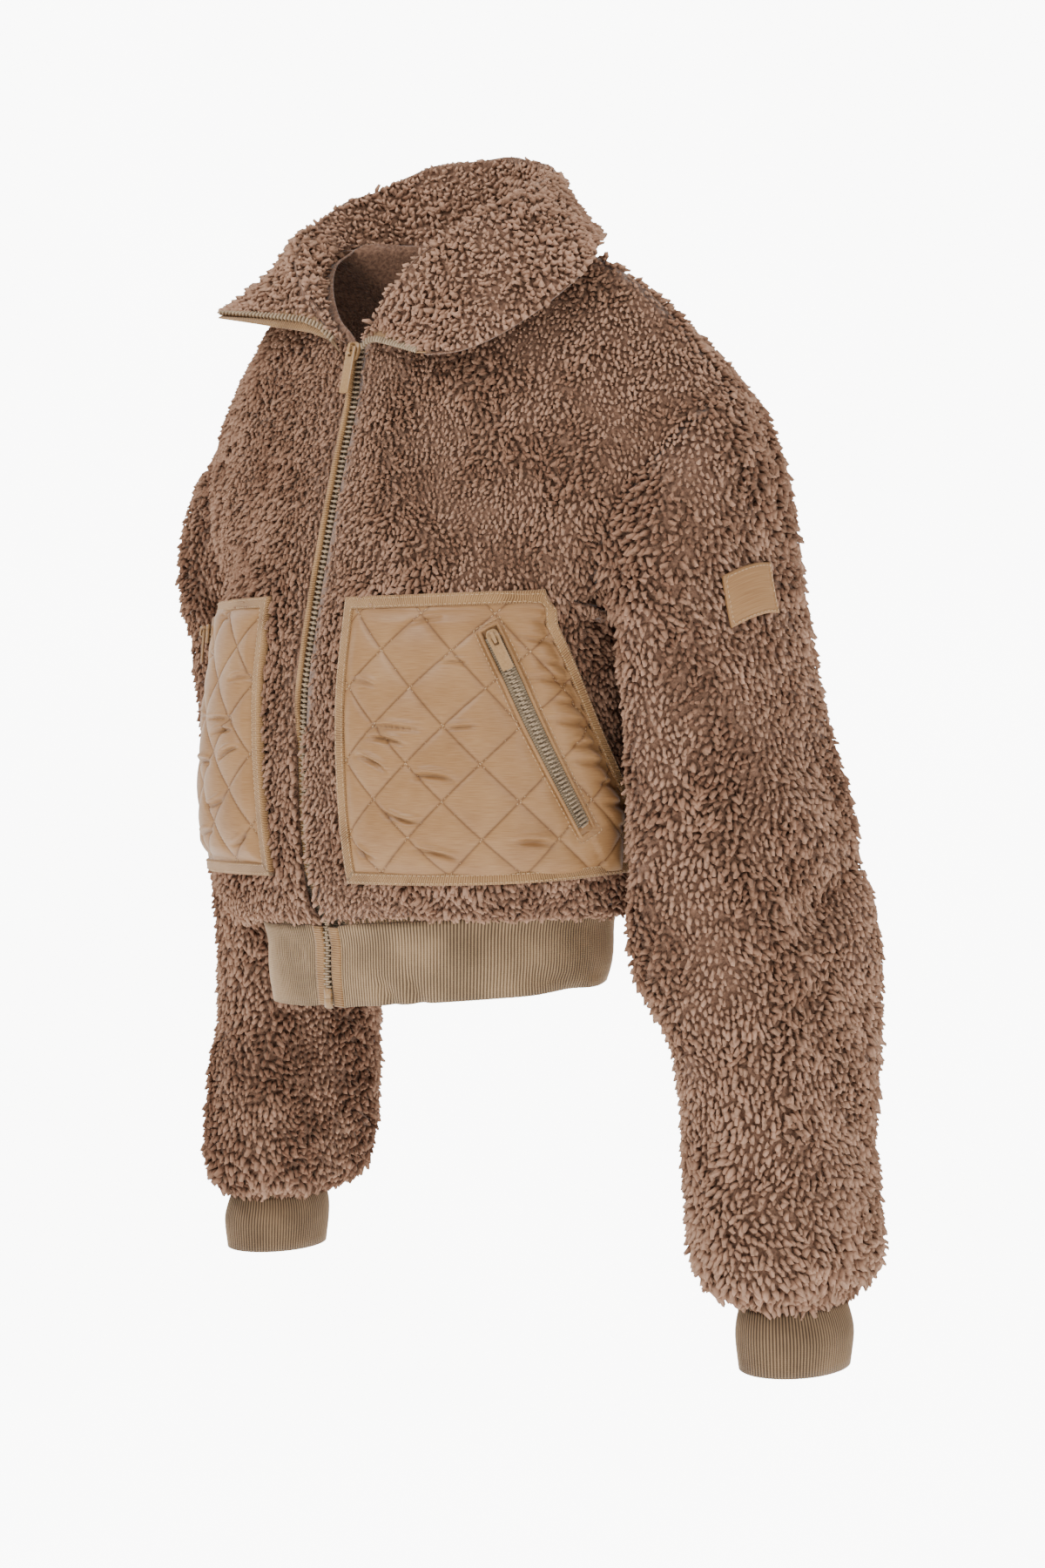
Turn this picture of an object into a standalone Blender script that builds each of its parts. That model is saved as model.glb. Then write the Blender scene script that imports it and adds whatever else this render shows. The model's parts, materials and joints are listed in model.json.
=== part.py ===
"""Cropped pile-fleece jacket, worn shape: body, full sleeves, ribbed cuffs and hem, rolled collar, zips.

Lengths in the tables are centimetres; the meshes are made in metres.
X runs to the wearer's left, Y to the back and Z up.  The origin is the centre of the neck base,
where the wearer's neck and shoulders hold the jacket.
"""
import bpy
import math
import numpy as np

for old in list(bpy.data.objects):
    bpy.data.objects.remove(old, do_unlink=True)

CM = 0.01

# ---- driving sizes, centimetres ------------------------------------------------------------------
FLEECE_WALL = 0.60      # backing and the pile standing on it
RIB_WALL = 0.26         # doubled rib knit
POCKET_WALL = 0.26      # padded, quilted pocket panel
TAPE_WALL = 0.10        # woven tape
SEAM_GAP = 0.06         # between sewn pieces
BODY_CUT, SLEEVE_CUT = 0.06, 0.04   # what the seams take off the edges of each
SLEEVE_HEAD = 0.08      # share of the wall left in the sleeve's seam, where the pile is crushed
LIE_GAP = 0.20          # under a trim that lies across the facets of a panel
PATCH_GAP = 0.09        # under the sleeve's patch, which spans few facets

LOW_ROWS = 1.25         # crowding of the rows towards the hem, where the body turns under
ROWS = 16               # rows of a body panel, hem seam to shoulder
ARMHOLE_ROWS = 8        # of these, the rows that end at the armhole
NECK_ROWS = 4           # of these, the rows that end at the front neckline
FRONT_COLS = 9          # columns of a front, zip to side seam
NECK_COLS = 3           # columns of half the back neckline
SLEEVE_COLS = 2 * ARMHOLE_ROWS
COLLAR_COLS = 28

# Front edge of the body beside the zip, hem seam to neckline
FRONT_EDGE = [  # z, y
    (-47.4, -8.2), (-46.6, -9.2), (-43.0, -10.1), (-37.5, -10.5), (-32.4, -10.4),
    (-28.0, -9.7), (-23.3, -8.7), (-17.0, -7.1), (-12.6, -5.9), (-9.2, -5.3)]
ZIP_HALF = 0.35         # the left front ends this far from the centre line
RIGHT_EDGE = 0.62       # the right front, which leaves room for the guard's edge

# Centre back, hem seam to neckline
BACK_LINE = [  # z, y
    (-46.8, 11.9), (-47.3, 13.2), (-45.6, 14.6), (-41.0, 15.0), (-32.0, 14.6), (-22.0, 14.0),
    (-12.0, 12.8), (-5.0, 9.6), (-1.2, 7.0)]

# Side seam, hem seam to underarm
SIDE_SEAM = [  # z, x, y
    (-47.2, 13.4, 3.2), (-47.9, 15.0, 3.2), (-46.2, 16.4, 3.2), (-41.6, 17.0, 3.2), (-36.0, 16.9, 3.4),
    (-31.0, 16.8, 3.8), (-27.2, 17.3, 4.2)]

# Armhole: underarm to shoulder, front half and back half
ARMHOLE_FRONT = [  # x, y, z
    (17.3, 4.2, -27.6), (17.1, 1.2, -26.8), (17.4, -1.2, -25.0), (18.6, -1.9, -22.6),
    (19.9, -1.4, -20.0), (21.4, 0.0, -17.0), (22.8, 2.4, -14.2), (23.6, 5.2, -12.6)]
ARMHOLE_BACK = [
    (17.3, 4.2, -27.6), (17.4, 7.6, -26.6), (18.3, 10.6, -23.6), (20.1, 11.7, -19.6),
    (22.0, 10.9, -15.8), (23.2, 8.4, -13.2), (23.6, 5.2, -12.6)]

# Neckline and shoulder
NECK_FRONT = [  # x, y, z
    (0.35, -5.3, -9.2), (2.6, -4.9, -7.4), (5.2, -3.4, -4.6), (7.2, -0.9, -2.2), (7.8, 1.2, -1.4)]
NECK_BACK = [
    (7.8, 1.2, -1.4), (6.6, 4.4, -1.2), (3.6, 6.4, -1.2), (0.0, 7.0, -1.2)]
SHOULDER = [
    (7.8, 1.2, -1.4), (12.6, 2.0, -2.5), (17.4, 3.2, -5.1), (21.3, 4.6, -9.2), (23.6, 5.2, -12.6)]

# Sleeve rings, armhole to cuff seam: overarm point, underarm point, middle and half of the depth,
# squareness, and how far the outside of the arm stands behind its inside
SLEEVE = [  # out_x, out_z, in_x, in_z, mid_y, half_y, power, skew
    (23.6, -12.6, 17.3, -27.6, 5.0, 7.0, 2.0, 0.0),
    (25.1, -15.4, 18.1, -29.5, 5.2, 7.2, 2.1, -0.5),
    (26.0, -19.4, 17.7, -30.6, 5.3, 7.4, 2.2, -0.8),
    (25.9, -25.0, 17.7, -33.4, 5.8, 7.5, 2.3, -0.3),
    (26.2, -31.6, 17.6, -36.8, 6.7, 7.5, 2.3, 0.8),
    (26.7, -38.4, 17.6, -41.0, 7.8, 7.4, 2.3, 2.0),
    (27.5, -44.6, 17.5, -45.4, 8.6, 7.6, 2.3, 2.9),
    (28.0, -49.4, 17.4, -49.4, 9.0, 7.8, 2.3, 2.8),
    (28.4, -54.2, 18.4, -54.2, 9.8, 7.2, 2.3, 1.2),
    (28.9, -60.0, 18.7, -60.0, 9.8, 7.1, 2.3, 0.2),
    (29.3, -65.4, 19.0, -65.4, 9.8, 7.0, 2.3, 0.0),
    (29.6, -69.0, 20.0, -69.0, 9.8, 6.6, 2.2, 0.0),
    (29.2, -70.9, 21.2, -70.9, 9.6, 5.4, 2.0, 0.0),
    (28.1, -70.8, 22.4, -70.8, 9.4, 4.0, 2.0, 0.0)]
SLEEVE_ROWS = 15

# Sleeve folds: height at the front and back, turn in degrees (0 outside, 90 front), reach, depth
SLEEVE_FOLDS = [  # z_front, z_outer, z_back, turn_from, turn_to, half_width, depth
    (-49.8, -44.6, -41.0, -70, 105, 1.7, -0.85),
    (-46.2, -41.2, -38.6, -40, 100, 1.9, 0.55),
    (-53.6, -51.0, -50.0, -60, 60, 1.6, -0.45),
    (-58.5, -57.0, -55.0, 20, 130, 1.5, -0.40),
    (-31.5, -27.5, -25.0, 20, 110, 2.2, -0.40),
    (-64.0, -62.5, -62.0, -120, 10, 1.6, -0.35)]

# Cuff and hem band
CUFF = [  # z, mid_x, mid_y, half_x, half_y
    (-70.755, 25.25, 9.4, 2.85, 4.00), (-71.6, 25.3, 9.4, 3.20, 4.20),
    (-72.8, 25.4, 9.35, 3.40, 4.30), (-74.8, 25.4, 9.35, 3.15, 4.10)]
HEM_BAND = [  # depth below the hem seam, share of the seam's outline, middle of the body in y
    (0.03, 1.000, 2.0), (1.4, 0.970, 2.0), (3.4, 0.965, 2.0), (5.4, 0.940, 2.0)]
HEM_EDGE = 1.30         # the band ends this far from the centre line, at its finishing tapes
HEM_LEAN = 0.085        # rise of the hem towards the wearer's left, per unit across
LEAN_TOP, LEAN_SPAN = -28.0, 18.0   # the lean starts at this height and is whole this far below

# Collar: the line of the roll and the free edge, zip end to centre back, worn open
COLLAR_ROWS = 8
ROLL_LEFT = [  # x, y, z
    (1.2, -6.1, -8.9), (4.4, -6.4, -4.8), (7.6, -4.8, -2.2), (9.6, 0.6, 1.2), (6.4, 6.4, 3.6),
    (0.0, 8.8, 5.0)]
EDGE_LEFT = [
    (8.8, -7.5, -9.9), (11.6, -6.6, -9.8), (13.8, -5.2, -8.7), (15.4, -3.2, -7.0),
    (16.2, -0.8, -5.0), (15.0, 2.2, -2.8), (11.6, 5.8, -1.8), (7.0, 9.6, -1.2), (0.0, 11.8, -0.8)]
ROLL_RIGHT = [
    (-1.8, -6.2, -8.4), (-5.0, -6.0, -4.8), (-7.4, -4.2, -1.8), (-9.3, 0.6, 1.4),
    (-7.2, 6.8, 4.6), (0.0, 8.8, 5.0)]
EDGE_RIGHT = [
    (-13.2, -6.1, -6.0), (-14.6, -4.6, -5.7), (-15.4, -2.8, -5.0), (-15.8, -0.6, -4.0),
    (-15.0, 2.4, -2.7), (-12.0, 6.2, -1.6), (-7.4, 10.0, -1.1), (0.0, 12.0, -0.8)]

# Pockets, measured along the front from the centre line and in height
POCKET_TOP, POCKET_BOTTOM = -26.0, -44.1
POCKET_SLANT = 0.61     # run outwards of the slanted edge for each unit down
POCKET = {  # inner edge at the top and bottom, top corner of the slanted edge, rise outwards
    "left": (3.5, 4.3, 17.4, 0.035),
    "right": (4.5, 3.3, 17.4, -0.045)}
BINDING = 0.65          # visible width of the binding tape
BINDING_OVER = 0.06     # how far the tape reaches past the panel's edge
TAPE_GAP = 0.13         # under the tape, which spans the pocket panel's facets
WELT_TOP = np.array([14.2, -28.0])      # upper end of the slanted opening
WELT_RUN = np.array([6.9, -12.5])       # from there to its lower end
WELT_WIDTH = 1.40
POCKET_TEETH = (0.22, 1.3, 0.3)         # half width, start and end short of the opening's ends

# Strips of the main zip on its line: across from and to, height from and to, first row, stuff
ZIP_STRIPS = {
    "zip_tape_left": (0.02, 1.25, 0.0, 0.08, 0, "twill"),
    "zip_tape_right": (-1.25, -0.02, 0.0, 0.08, 0, "twill"),
    "zip_teeth": (-0.28, 0.28, 0.11, 0.42, 0, "teeth"),
    "zip_guard": (-1.50, 0.90, -0.15, -0.03, 4, "twill"),
    "zip_guard_edge": (-0.58, -0.32, 0.11, 0.58, 4, "twill")}

# The same zip along the collar's front edges: out from the edge, height over the collar's face, stuff
COLLAR_STRIPS = {
    "tape": (0.03, 0.80, -0.40, -0.32, "twill"),
    "teeth": (0.40, 0.90, -0.29, -0.02, "teeth"),
    "guard": (0.20, 1.75, -0.56, -0.46, "twill")}

# Sliders: where the main one stands over the zip's upper end, then pull length and half widths
SLIDER_LIFT, SLIDER_DOWN = 0.82, 0.45
MAIN_PULL = (3.3, 0.42, 0.52)           # pull length, half width of the pull, of the slider
POCKET_PULL = (2.5, 0.38, 0.40)
POCKET_SLIDER_DOWN = 0.62               # down the opening from its upper end

# Plain patch on the wearer's left upper sleeve, in rows and columns of the sleeve's grid
PATCH_ROW, PATCH_COL = 3.35, 0.35
PATCH_ROWS, PATCH_COLS = 0.40, 0.46     # half its size
PATCH_WALL = 0.12

ACROSS = np.array([1.0, 0.0, 0.0])
OTHER_SIDE = np.array([-1.0, 1.0, 1.0])


# ---- curves and grids ----------------------------------------------------------------------------
def smooth(points, n, power=1.0):
    """n points along a smooth curve through the given ones, at even steps of length."""
    pts = np.array(points, float)
    if len(pts) > 2:
        ends = [2 * pts[0] - pts[1]], [2 * pts[-1] - pts[-2]]
        p = np.vstack([ends[0], pts, ends[1]])
        t = np.linspace(0, 1, 13)[:-1, None]
        runs = [0.5 * (2 * p[i] + (p[i + 1] - p[i - 1]) * t
                       + (2 * p[i - 1] - 5 * p[i] + 4 * p[i + 1] - p[i + 2]) * t ** 2
                       + (3 * p[i] - p[i - 1] - 3 * p[i + 1] + p[i + 2]) * t ** 3)
                for i in range(1, len(p) - 2)]
        pts = np.vstack(runs + [pts[-1:]])
    return resample(pts, n, power)


def resample(pts, n, power=1.0):
    """The same line with n points at even steps of its length."""
    step = np.linalg.norm(np.diff(pts, axis=0), axis=1)
    run = np.concatenate([[0], np.cumsum(step)])
    want = np.linspace(0, 1, n) ** power * run[-1]
    return np.stack([np.interp(want, run, pts[:, k]) for k in range(pts.shape[1])], axis=1)


def quarter(start, end, power, n):
    """A row round a quarter of the body: it leaves the start along X and meets the end along Y."""
    angle = np.linspace(0, math.pi / 2, 60)
    across = np.sin(angle) ** (2 / power)
    along = 1 - np.cos(angle) ** (2 / power)
    rise = across ** 1.5
    shape = np.stack([start[0] + (end[0] - start[0]) * across,
                      start[1] + (end[1] - start[1]) * along,
                      start[2] + (end[2] - start[2]) * rise], axis=1)
    return resample(shape, n)


def mirrored(grid):
    """The grid on the other side of the body, its columns still running the same way round."""
    return (grid * OTHER_SIDE)[:, ::-1]


def trimmed(grid, normals, cut, closed=False):
    """The grid with its edges drawn in square to themselves, which opens the seam gaps."""
    g = grid.copy()
    if closed:
        across = np.roll(grid, -1, 1) - np.roll(grid, 1, 1)
    else:
        across = np.gradient(grid, axis=1)
    up = np.gradient(grid, axis=0)

    def square(way):
        return cut * way / np.maximum(np.linalg.norm(way, axis=-1, keepdims=True), 1e-6)

    g[0] += square(np.cross(normals[0], across[0]))
    g[-1] -= square(np.cross(normals[-1], across[-1]))
    if not closed:
        g[:, 0] += square(np.cross(up[:, 0], normals[:, 0]))
        g[:, -1] -= square(np.cross(up[:, -1], normals[:, -1]))
    return g


def sewn_normals(grids, closed):
    """Normals of several grids sewn together: points at one place share theirs."""
    sums = {}
    raw = []
    for grid, ring in zip(grids, closed):
        if ring:
            du = np.roll(grid, -1, 1) - np.roll(grid, 1, 1)
        else:
            du = np.gradient(grid, axis=1)
        n = np.cross(du, np.gradient(grid, axis=0))
        n /= np.maximum(np.linalg.norm(n, axis=2, keepdims=True), 1e-9)
        raw.append(n)
        for point, normal in zip(grid.reshape(-1, 3), n.reshape(-1, 3)):
            key = tuple(np.round(point, 3))
            sums[key] = sums.get(key, 0) + normal
    out = []
    for grid, n in zip(grids, raw):
        all_n = np.array([sums[tuple(np.round(p, 3))] for p in grid.reshape(-1, 3)])
        all_n /= np.maximum(np.linalg.norm(all_n, axis=1, keepdims=True), 1e-9)
        out.append(all_n.reshape(grid.shape))
    return out


# ---- body ----------------------------------------------------------------------------------------
def side_line():
    """Side seam and armhole of the left side, one line for the fronts and one for the back."""
    seam_rows = ROWS - ARMHOLE_ROWS + 1
    seam = smooth([(x, y, z) for z, x, y in SIDE_SEAM], seam_rows, LOW_ROWS)
    front = smooth(ARMHOLE_FRONT, ARMHOLE_ROWS + 1)
    back = smooth(ARMHOLE_BACK, ARMHOLE_ROWS + 1)
    return np.vstack([seam, front[1:]]), np.vstack([seam, back[1:]])


def front_panel():
    """Left front: columns from the zip to the side seam, rows from the hem seam to the shoulder."""
    edge_rows = ROWS - NECK_ROWS + 1
    edge = smooth([(ZIP_HALF, y, z) for z, y in FRONT_EDGE], edge_rows, LOW_ROWS)
    inner = np.vstack([edge, smooth(NECK_FRONT, NECK_ROWS + 1)[1:]])
    outer = side_line()[0]
    share = np.linspace(0, 1, ROWS + 1)
    powers = np.interp(share, [0, 0.2, 0.5, 0.75, 0.92, 1.0], [2.2, 2.7, 2.6, 1.9, 1.35, 1.1])
    rows = [quarter(inner[j], outer[j], powers[j], FRONT_COLS + 1) for j in range(ROWS + 1)]
    rows[-1] = smooth(SHOULDER, FRONT_COLS + 1)
    return np.array(rows)


def back_half():
    """Left half of the back: columns from the centre line to the side seam."""
    cols = NECK_COLS + FRONT_COLS
    centre = smooth([(0, y, z) for z, y in BACK_LINE], ROWS + 1, LOW_ROWS)
    outer = side_line()[1]
    share = np.linspace(0, 1, ROWS + 1)
    powers = np.interp(share, [0, 0.2, 0.5, 0.8, 1.0], [2.1, 2.3, 2.2, 1.35, 1.2])
    rows = [quarter(centre[j], outer[j], powers[j], cols + 1) for j in range(ROWS + 1)]
    neck = smooth(NECK_BACK[::-1], NECK_COLS + 1)
    top = np.vstack([neck, smooth(SHOULDER, FRONT_COLS + 1)[1:]])
    grid = np.array(rows)
    miss = top - grid[-1]
    for j, t in enumerate(np.clip((share - 0.3) / 0.7, 0, 1)):
        grid[j] += softened(miss, 5.0 * (1 - t)) * t ** 1.8
    return grid


def softened(line, width):
    """A line of moves blurred along itself: even about its start, held still at its end."""
    if width < 0.2:
        return line
    n = len(line)
    mirror = np.vstack([line[:0:-1] * OTHER_SIDE, line, -line[-2::-1]])
    where = np.arange(len(mirror)) - (n - 1)
    weight = np.exp(-0.5 * ((np.arange(n)[:, None] - where[None]) / width) ** 2)
    return (weight / weight.sum(axis=1, keepdims=True)) @ mirror


# ---- sleeves -------------------------------------------------------------------------------------
def armhole_ring():
    """The left armhole as a closed ring: shoulder point, down the front, up the back."""
    front, back = side_line()
    down = front[::-1][:ARMHOLE_ROWS + 1]
    up = back[-ARMHOLE_ROWS - 1:][1:-1]
    return np.vstack([down, up])


def sleeve_ring(row):
    """One ring of the sleeve in its tilted plane, starting over the arm and running to the front."""
    out_x, out_z, in_x, in_z, mid_y, half_y, power, skew = row
    turn = np.linspace(0, 2 * math.pi, SLEEVE_COLS, endpoint=False)
    c, s = np.cos(turn), np.sin(turn)
    across = np.sign(c) * np.abs(c) ** (2 / power)
    deep = np.sign(s) * np.abs(s) ** (2 / power)
    mid_x, mid_z = (out_x + in_x) / 2, (out_z + in_z) / 2
    return np.stack([mid_x + (out_x - in_x) / 2 * across,
                     mid_y - half_y * deep + skew * across,
                     mid_z + (out_z - in_z) / 2 * across], axis=1)


def sleeve_grid():
    """Left sleeve, rings from the armhole to the cuff; the first ring is the armhole itself."""
    rings = np.array([sleeve_ring(row) for row in SLEEVE])
    hole = armhole_ring()
    miss = hole - rings[0]
    for k, keep in enumerate([1.0, 0.55, 0.25, 0.08]):
        rings[k] = rings[k] + miss * keep
    lines = [smooth(rings[:, k], SLEEVE_ROWS + 1) for k in range(SLEEVE_COLS)]
    grid = np.stack(lines, axis=1)
    grid[0] = hole
    return grid + sleeve_folds(grid)


def sleeve_folds(grid):
    """The sleeve's largest folds as soft troughs and ridges across it."""
    middle = grid.mean(axis=1, keepdims=True)
    out = grid - middle
    out /= np.maximum(np.linalg.norm(out, axis=2, keepdims=True), 1e-6)
    turn = np.degrees(np.arctan2(-out[..., 1], out[..., 0]))
    push = np.zeros(turn.shape)
    for z_front, z_outer, z_back, a, b, half, depth in SLEEVE_FOLDS:
        level = np.interp(turn, [-90, 0, 90], [z_back, z_outer, z_front])
        reach = np.clip(np.minimum(turn - a, b - turn) / 35.0, 0, 1)
        push += depth * np.exp(-((grid[..., 2] - level) / half) ** 2) * reach ** 2 * (3 - 2 * reach)
    return out * push[..., None]


# ---- collar, cuffs, hem --------------------------------------------------------------------------
def neckline():
    """The collar seam from the wearer's left zip edge round the back to the right zip edge."""
    half = np.vstack([smooth(NECK_FRONT, NECK_ROWS + 1), smooth(NECK_BACK, NECK_COLS + 1)[1:]])
    right = half[:-1][::-1] * OTHER_SIDE
    right[-1, 0] = -RIGHT_EDGE
    return np.vstack([half, right])


def round_neck(left, right):
    """One line of the collar from the left zip edge round the back to the right one."""
    n = COLLAR_COLS // 2 + 1
    return np.vstack([smooth(left, n), smooth(right, n)[:-1][::-1]])


def collar_grid():
    """Collar, seam row to free edge; columns run from the left zip edge to the right one."""
    line = neckline()
    share = np.linspace(0, len(line) - 1, COLLAR_COLS + 1)
    seam = np.stack([np.interp(share, np.arange(len(line)), line[:, k]) for k in range(3)], axis=1)
    ends = np.abs(np.linspace(-1, 1, len(seam)))[:, None]
    seam += np.array([0, 0, 2.2 * SEAM_GAP])
    seam += np.array([0, -0.50, 0.35]) * np.clip((ends - 0.3) / 0.7, 0, 1)
    roll = round_neck(ROLL_LEFT, ROLL_RIGHT)
    edge = round_neck(EDGE_LEFT, EDGE_RIGHT)
    lines = []
    for s, r, e in zip(seam, roll, edge):
        fall = np.linalg.norm(e - r)
        over = r + (e - r) * 0.22 + np.array([0, 0, 0.085 * fall])
        down = r + (e - r) * 0.60 + np.array([0, 0, 0.055 * fall])
        lines.append(smooth([s, s + (r - s) * 0.6, r, over, down, e], COLLAR_ROWS + 1))
    return np.stack(lines, axis=1)


def cuff_grid():
    """Left cuff, its rings meeting the sleeve's gathered end."""
    turn = np.linspace(0, 2 * math.pi, SLEEVE_COLS, endpoint=False)
    return np.array([np.stack([mx + a * np.cos(turn), my - b * np.sin(turn), z + 0 * turn], axis=1)
                     for z, mx, my, a, b in CUFF])


def hem_grid(seam):
    """Hem band below the body's lower edge, from the left zip edge round the back to the right."""
    rows = []
    for depth, share, mid_y in HEM_BAND:
        middle = np.array([0, mid_y, 0])
        row = middle + (seam - middle) * np.array([share, share, 1.0])
        row[:, 2] -= depth
        row[0, 0], row[-1, 0] = HEM_EDGE, -HEM_EDGE
        rows.append(row)
    return np.array(rows)


def lean(grid):
    """The body's lower part rises a little towards the wearer's left, as it hangs."""
    g = grid.copy()
    t = np.clip((LEAN_TOP - g[..., 2]) / LEAN_SPAN, 0, 1)
    g[..., 2] += HEM_LEAN * g[..., 0] * t * t * (3 - 2 * t)
    return g


# ---- solids --------------------------------------------------------------------------------------
def material(name, colour, roughness, metallic=0.0):
    """A plain material from an sRGB hex colour."""
    mat = bpy.data.materials.new(name)
    mat.use_nodes = True
    shader = mat.node_tree.nodes["Principled BSDF"]
    parts = [int(colour[k:k + 2], 16) / 255 for k in (1, 3, 5)]
    linear = [c / 12.92 if c <= 0.04045 else ((c + 0.055) / 1.055) ** 2.4 for c in parts]
    shader.inputs["Base Color"].default_value = (*linear, 1.0)
    shader.inputs["Roughness"].default_value = roughness
    shader.inputs["Metallic"].default_value = metallic
    mat.diffuse_color = (*linear, 1.0)
    return mat


def solid(name, verts, faces, mat, origin=(0.0, 0.0, 0.0), smooth_shade=True):
    """A mesh object from centimetre points, placed at its origin."""
    mesh = bpy.data.meshes.new(name)
    at = np.array(origin)
    mesh.from_pydata([tuple((np.array(v) - at) * CM) for v in verts], [], faces)
    mesh.validate()
    mesh.materials.append(mat)
    for poly in mesh.polygons:
        poly.use_smooth = smooth_shade
    obj = bpy.data.objects.new(name, mesh)
    obj.location = tuple(at * CM)
    bpy.context.scene.collection.objects.link(obj)
    return obj


def shell(name, outer, inner, mat, closed=False):
    """A wall between two grids of the same size; closed ones join their last column to the first."""
    rows, cols = outer.shape[:2]
    count = rows * cols
    verts = np.vstack([outer.reshape(-1, 3), inner.reshape(-1, 3)])
    span = cols if closed else cols - 1
    faces = []
    for i in range(rows - 1):
        for j in range(span):
            a, b = i * cols + j, i * cols + (j + 1) % cols
            c, d = b + cols, a + cols
            faces.append((a, b, c, d))
            faces.append((a + count, d + count, c + count, b + count))
    for j in range(span):
        k = (j + 1) % cols
        top = (rows - 1) * cols
        faces.append((j, j + count, k + count, k))
        faces.append((top + j, top + k, top + k + count, top + j + count))
    if not closed:
        for i in range(rows - 1):
            a, d = i * cols, (i + 1) * cols
            faces.append((a, d, d + count, a + count))
            b, c = a + cols - 1, d + cols - 1
            faces.append((b, b + count, c + count, c))
    return solid(name, verts, faces, mat)


def wall(name, grid, normals, thick, mat, closed=False, first=1.0, cut=BODY_CUT):
    """Cloth under the grid, drawn back from its seams; `first` is the first row's share of it."""
    outer = trimmed(grid, normals, cut, closed)
    depth = np.full((len(grid), 1, 1), thick)
    depth[0] *= first
    return shell(name, outer, outer - normals * depth, mat, closed)


def extruded(name, loop, hole, frame, low, high, mat):
    """A flat plate from an outline in a local frame, with or without one hole in it."""
    at, side, along, up = frame

    def place(x, y, z):
        return at + side * x + along * y + up * z

    area = sum(a[0] * b[1] - b[0] * a[1] for a, b in zip(loop, loop[1:] + loop[:1]))
    if area < 0:
        loop = loop[::-1]
    verts = [place(x, y, z) for z in (high, low) for x, y in loop]
    n = len(loop)
    if hole is None:
        faces = [tuple(range(n)), tuple(range(2 * n - 1, n - 1, -1))]
    else:
        verts += [place(x, y, z) for z in (high, low) for x, y in hole]
        faces = []
        for k in range(n):
            m = (k + 1) % n
            faces.append((k, m, 2 * n + m, 2 * n + k))
            faces.append((n + k, 3 * n + k, 3 * n + m, n + m))
            faces.append((2 * n + k, 2 * n + m, 3 * n + m, 3 * n + k))
    for k in range(n):
        m = (k + 1) % n
        faces.append((k, n + k, n + m, m))
    return solid(name, verts, faces, mat, at, smooth_shade=False)


def rounded(half_x, top, bottom, radius, per_corner=4):
    """Outline of a rounded rectangle, anticlockwise seen from above the plate."""
    out = []
    corners = [(half_x, bottom, -90), (half_x, top, 0), (-half_x, top, 90), (-half_x, bottom, 180)]
    for x, y, start in corners:
        cx = x - math.copysign(radius, x)
        cy = y - radius if y == top else y + radius
        for k in range(per_corner):
            a = math.radians(start + 90 * k / (per_corner - 1))
            out.append((cx + radius * math.cos(a), cy + radius * math.sin(a)))
    return out


def zip_pull(name, at, along, up, sizes):
    """Slider body, its bridge and the pull that swings on it, from the slider's place on the zip."""
    length, half_width, body_half = sizes
    side = np.cross(along, up)
    frame = (np.array(at), side, along, up)
    plate = [(-0.36, 0.62), (-body_half, 0.10), (-body_half, -0.42), (-0.20, -0.62),
             (0.20, -0.62), (body_half, -0.42), (body_half, 0.10), (0.36, 0.62)]
    extruded(name + "_slider", plate, None, frame, 0.0, 0.26, mats["metal"])
    arch = [(-0.50, 0.29), (-0.50, 0.56), (-0.38, 0.70), (0.18, 0.70), (0.32, 0.56), (0.32, 0.29),
            (0.18, 0.29), (0.18, 0.50), (0.12, 0.56), (-0.28, 0.56), (-0.36, 0.50), (-0.36, 0.29)]
    bridge_frame = (frame[0], along, up, side)
    extruded(name + "_bridge", arch, None, bridge_frame, -0.11, 0.11, mats["metal"])
    hinge = frame[0] + along * -0.16 + up * 0.40
    outer = rounded(half_width, length - 0.20, -0.10, 0.09)
    slot = rounded(0.17, 0.62, 0.12, 0.05)
    extruded(name + "_pull", outer, slot, (hinge, side, along, up), -0.07, 0.07, mats["metal"])


# ---- things that lie on the fronts ---------------------------------------------------------------
class Front:
    """Places on a front by distance from the centre line and height, always seen as a left front."""

    def __init__(self, grid, normals, pocket):
        self.grid, self.normals = grid, normals
        self.pocket = pocket
        step = np.linalg.norm(np.diff(grid, axis=1), axis=2)
        self.run = np.concatenate([np.zeros((len(grid), 1)), np.cumsum(step, axis=1)], axis=1)
        self.run += np.abs(grid[:, :1, 0])

    def column(self, s):
        """Place and outward way on every row, at one distance from the centre line."""
        both = []
        for g in (self.grid, self.normals):
            both.append(np.array([[np.interp(s, r, q[:, k]) for k in range(3)]
                                  for r, q in zip(self.run, g)]))
        return both

    def at(self, s, z, lift=0.0):
        """Place and outward way at a distance and a height, moved out by the lift."""
        points, ways = self.column(s)
        rows = np.arange(len(points))
        j = np.interp(z, points[:, 2], rows)
        p = np.array([np.interp(j, rows, points[:, k]) for k in range(3)])
        n = np.array([np.interp(j, rows, ways[:, k]) for k in range(3)])
        n /= np.linalg.norm(n)
        return p + n * lift, n

    def width(self, z):
        """Distance of the side seam from the centre line at a height."""
        return float(np.interp(z, self.grid[:, -1, 2], self.run[:, -1]))


def pocket_spot(front, u, v, inset=0.0):
    """Distance and height on a pocket, u from its inner to outer edge, v from bottom to top."""
    inner_top, inner_bottom, corner, rise = front.pocket
    z = POCKET_BOTTOM + inset + (POCKET_TOP - POCKET_BOTTOM - 2 * inset) * v
    start = inner_bottom + (inner_top - inner_bottom) * v + inset
    slanted = corner + (POCKET_TOP - z) * POCKET_SLANT
    end = min(slanted, front.width(z) - 0.6) - inset
    s = start + (end - start) * u
    return s, z + rise * (s - start)


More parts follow.
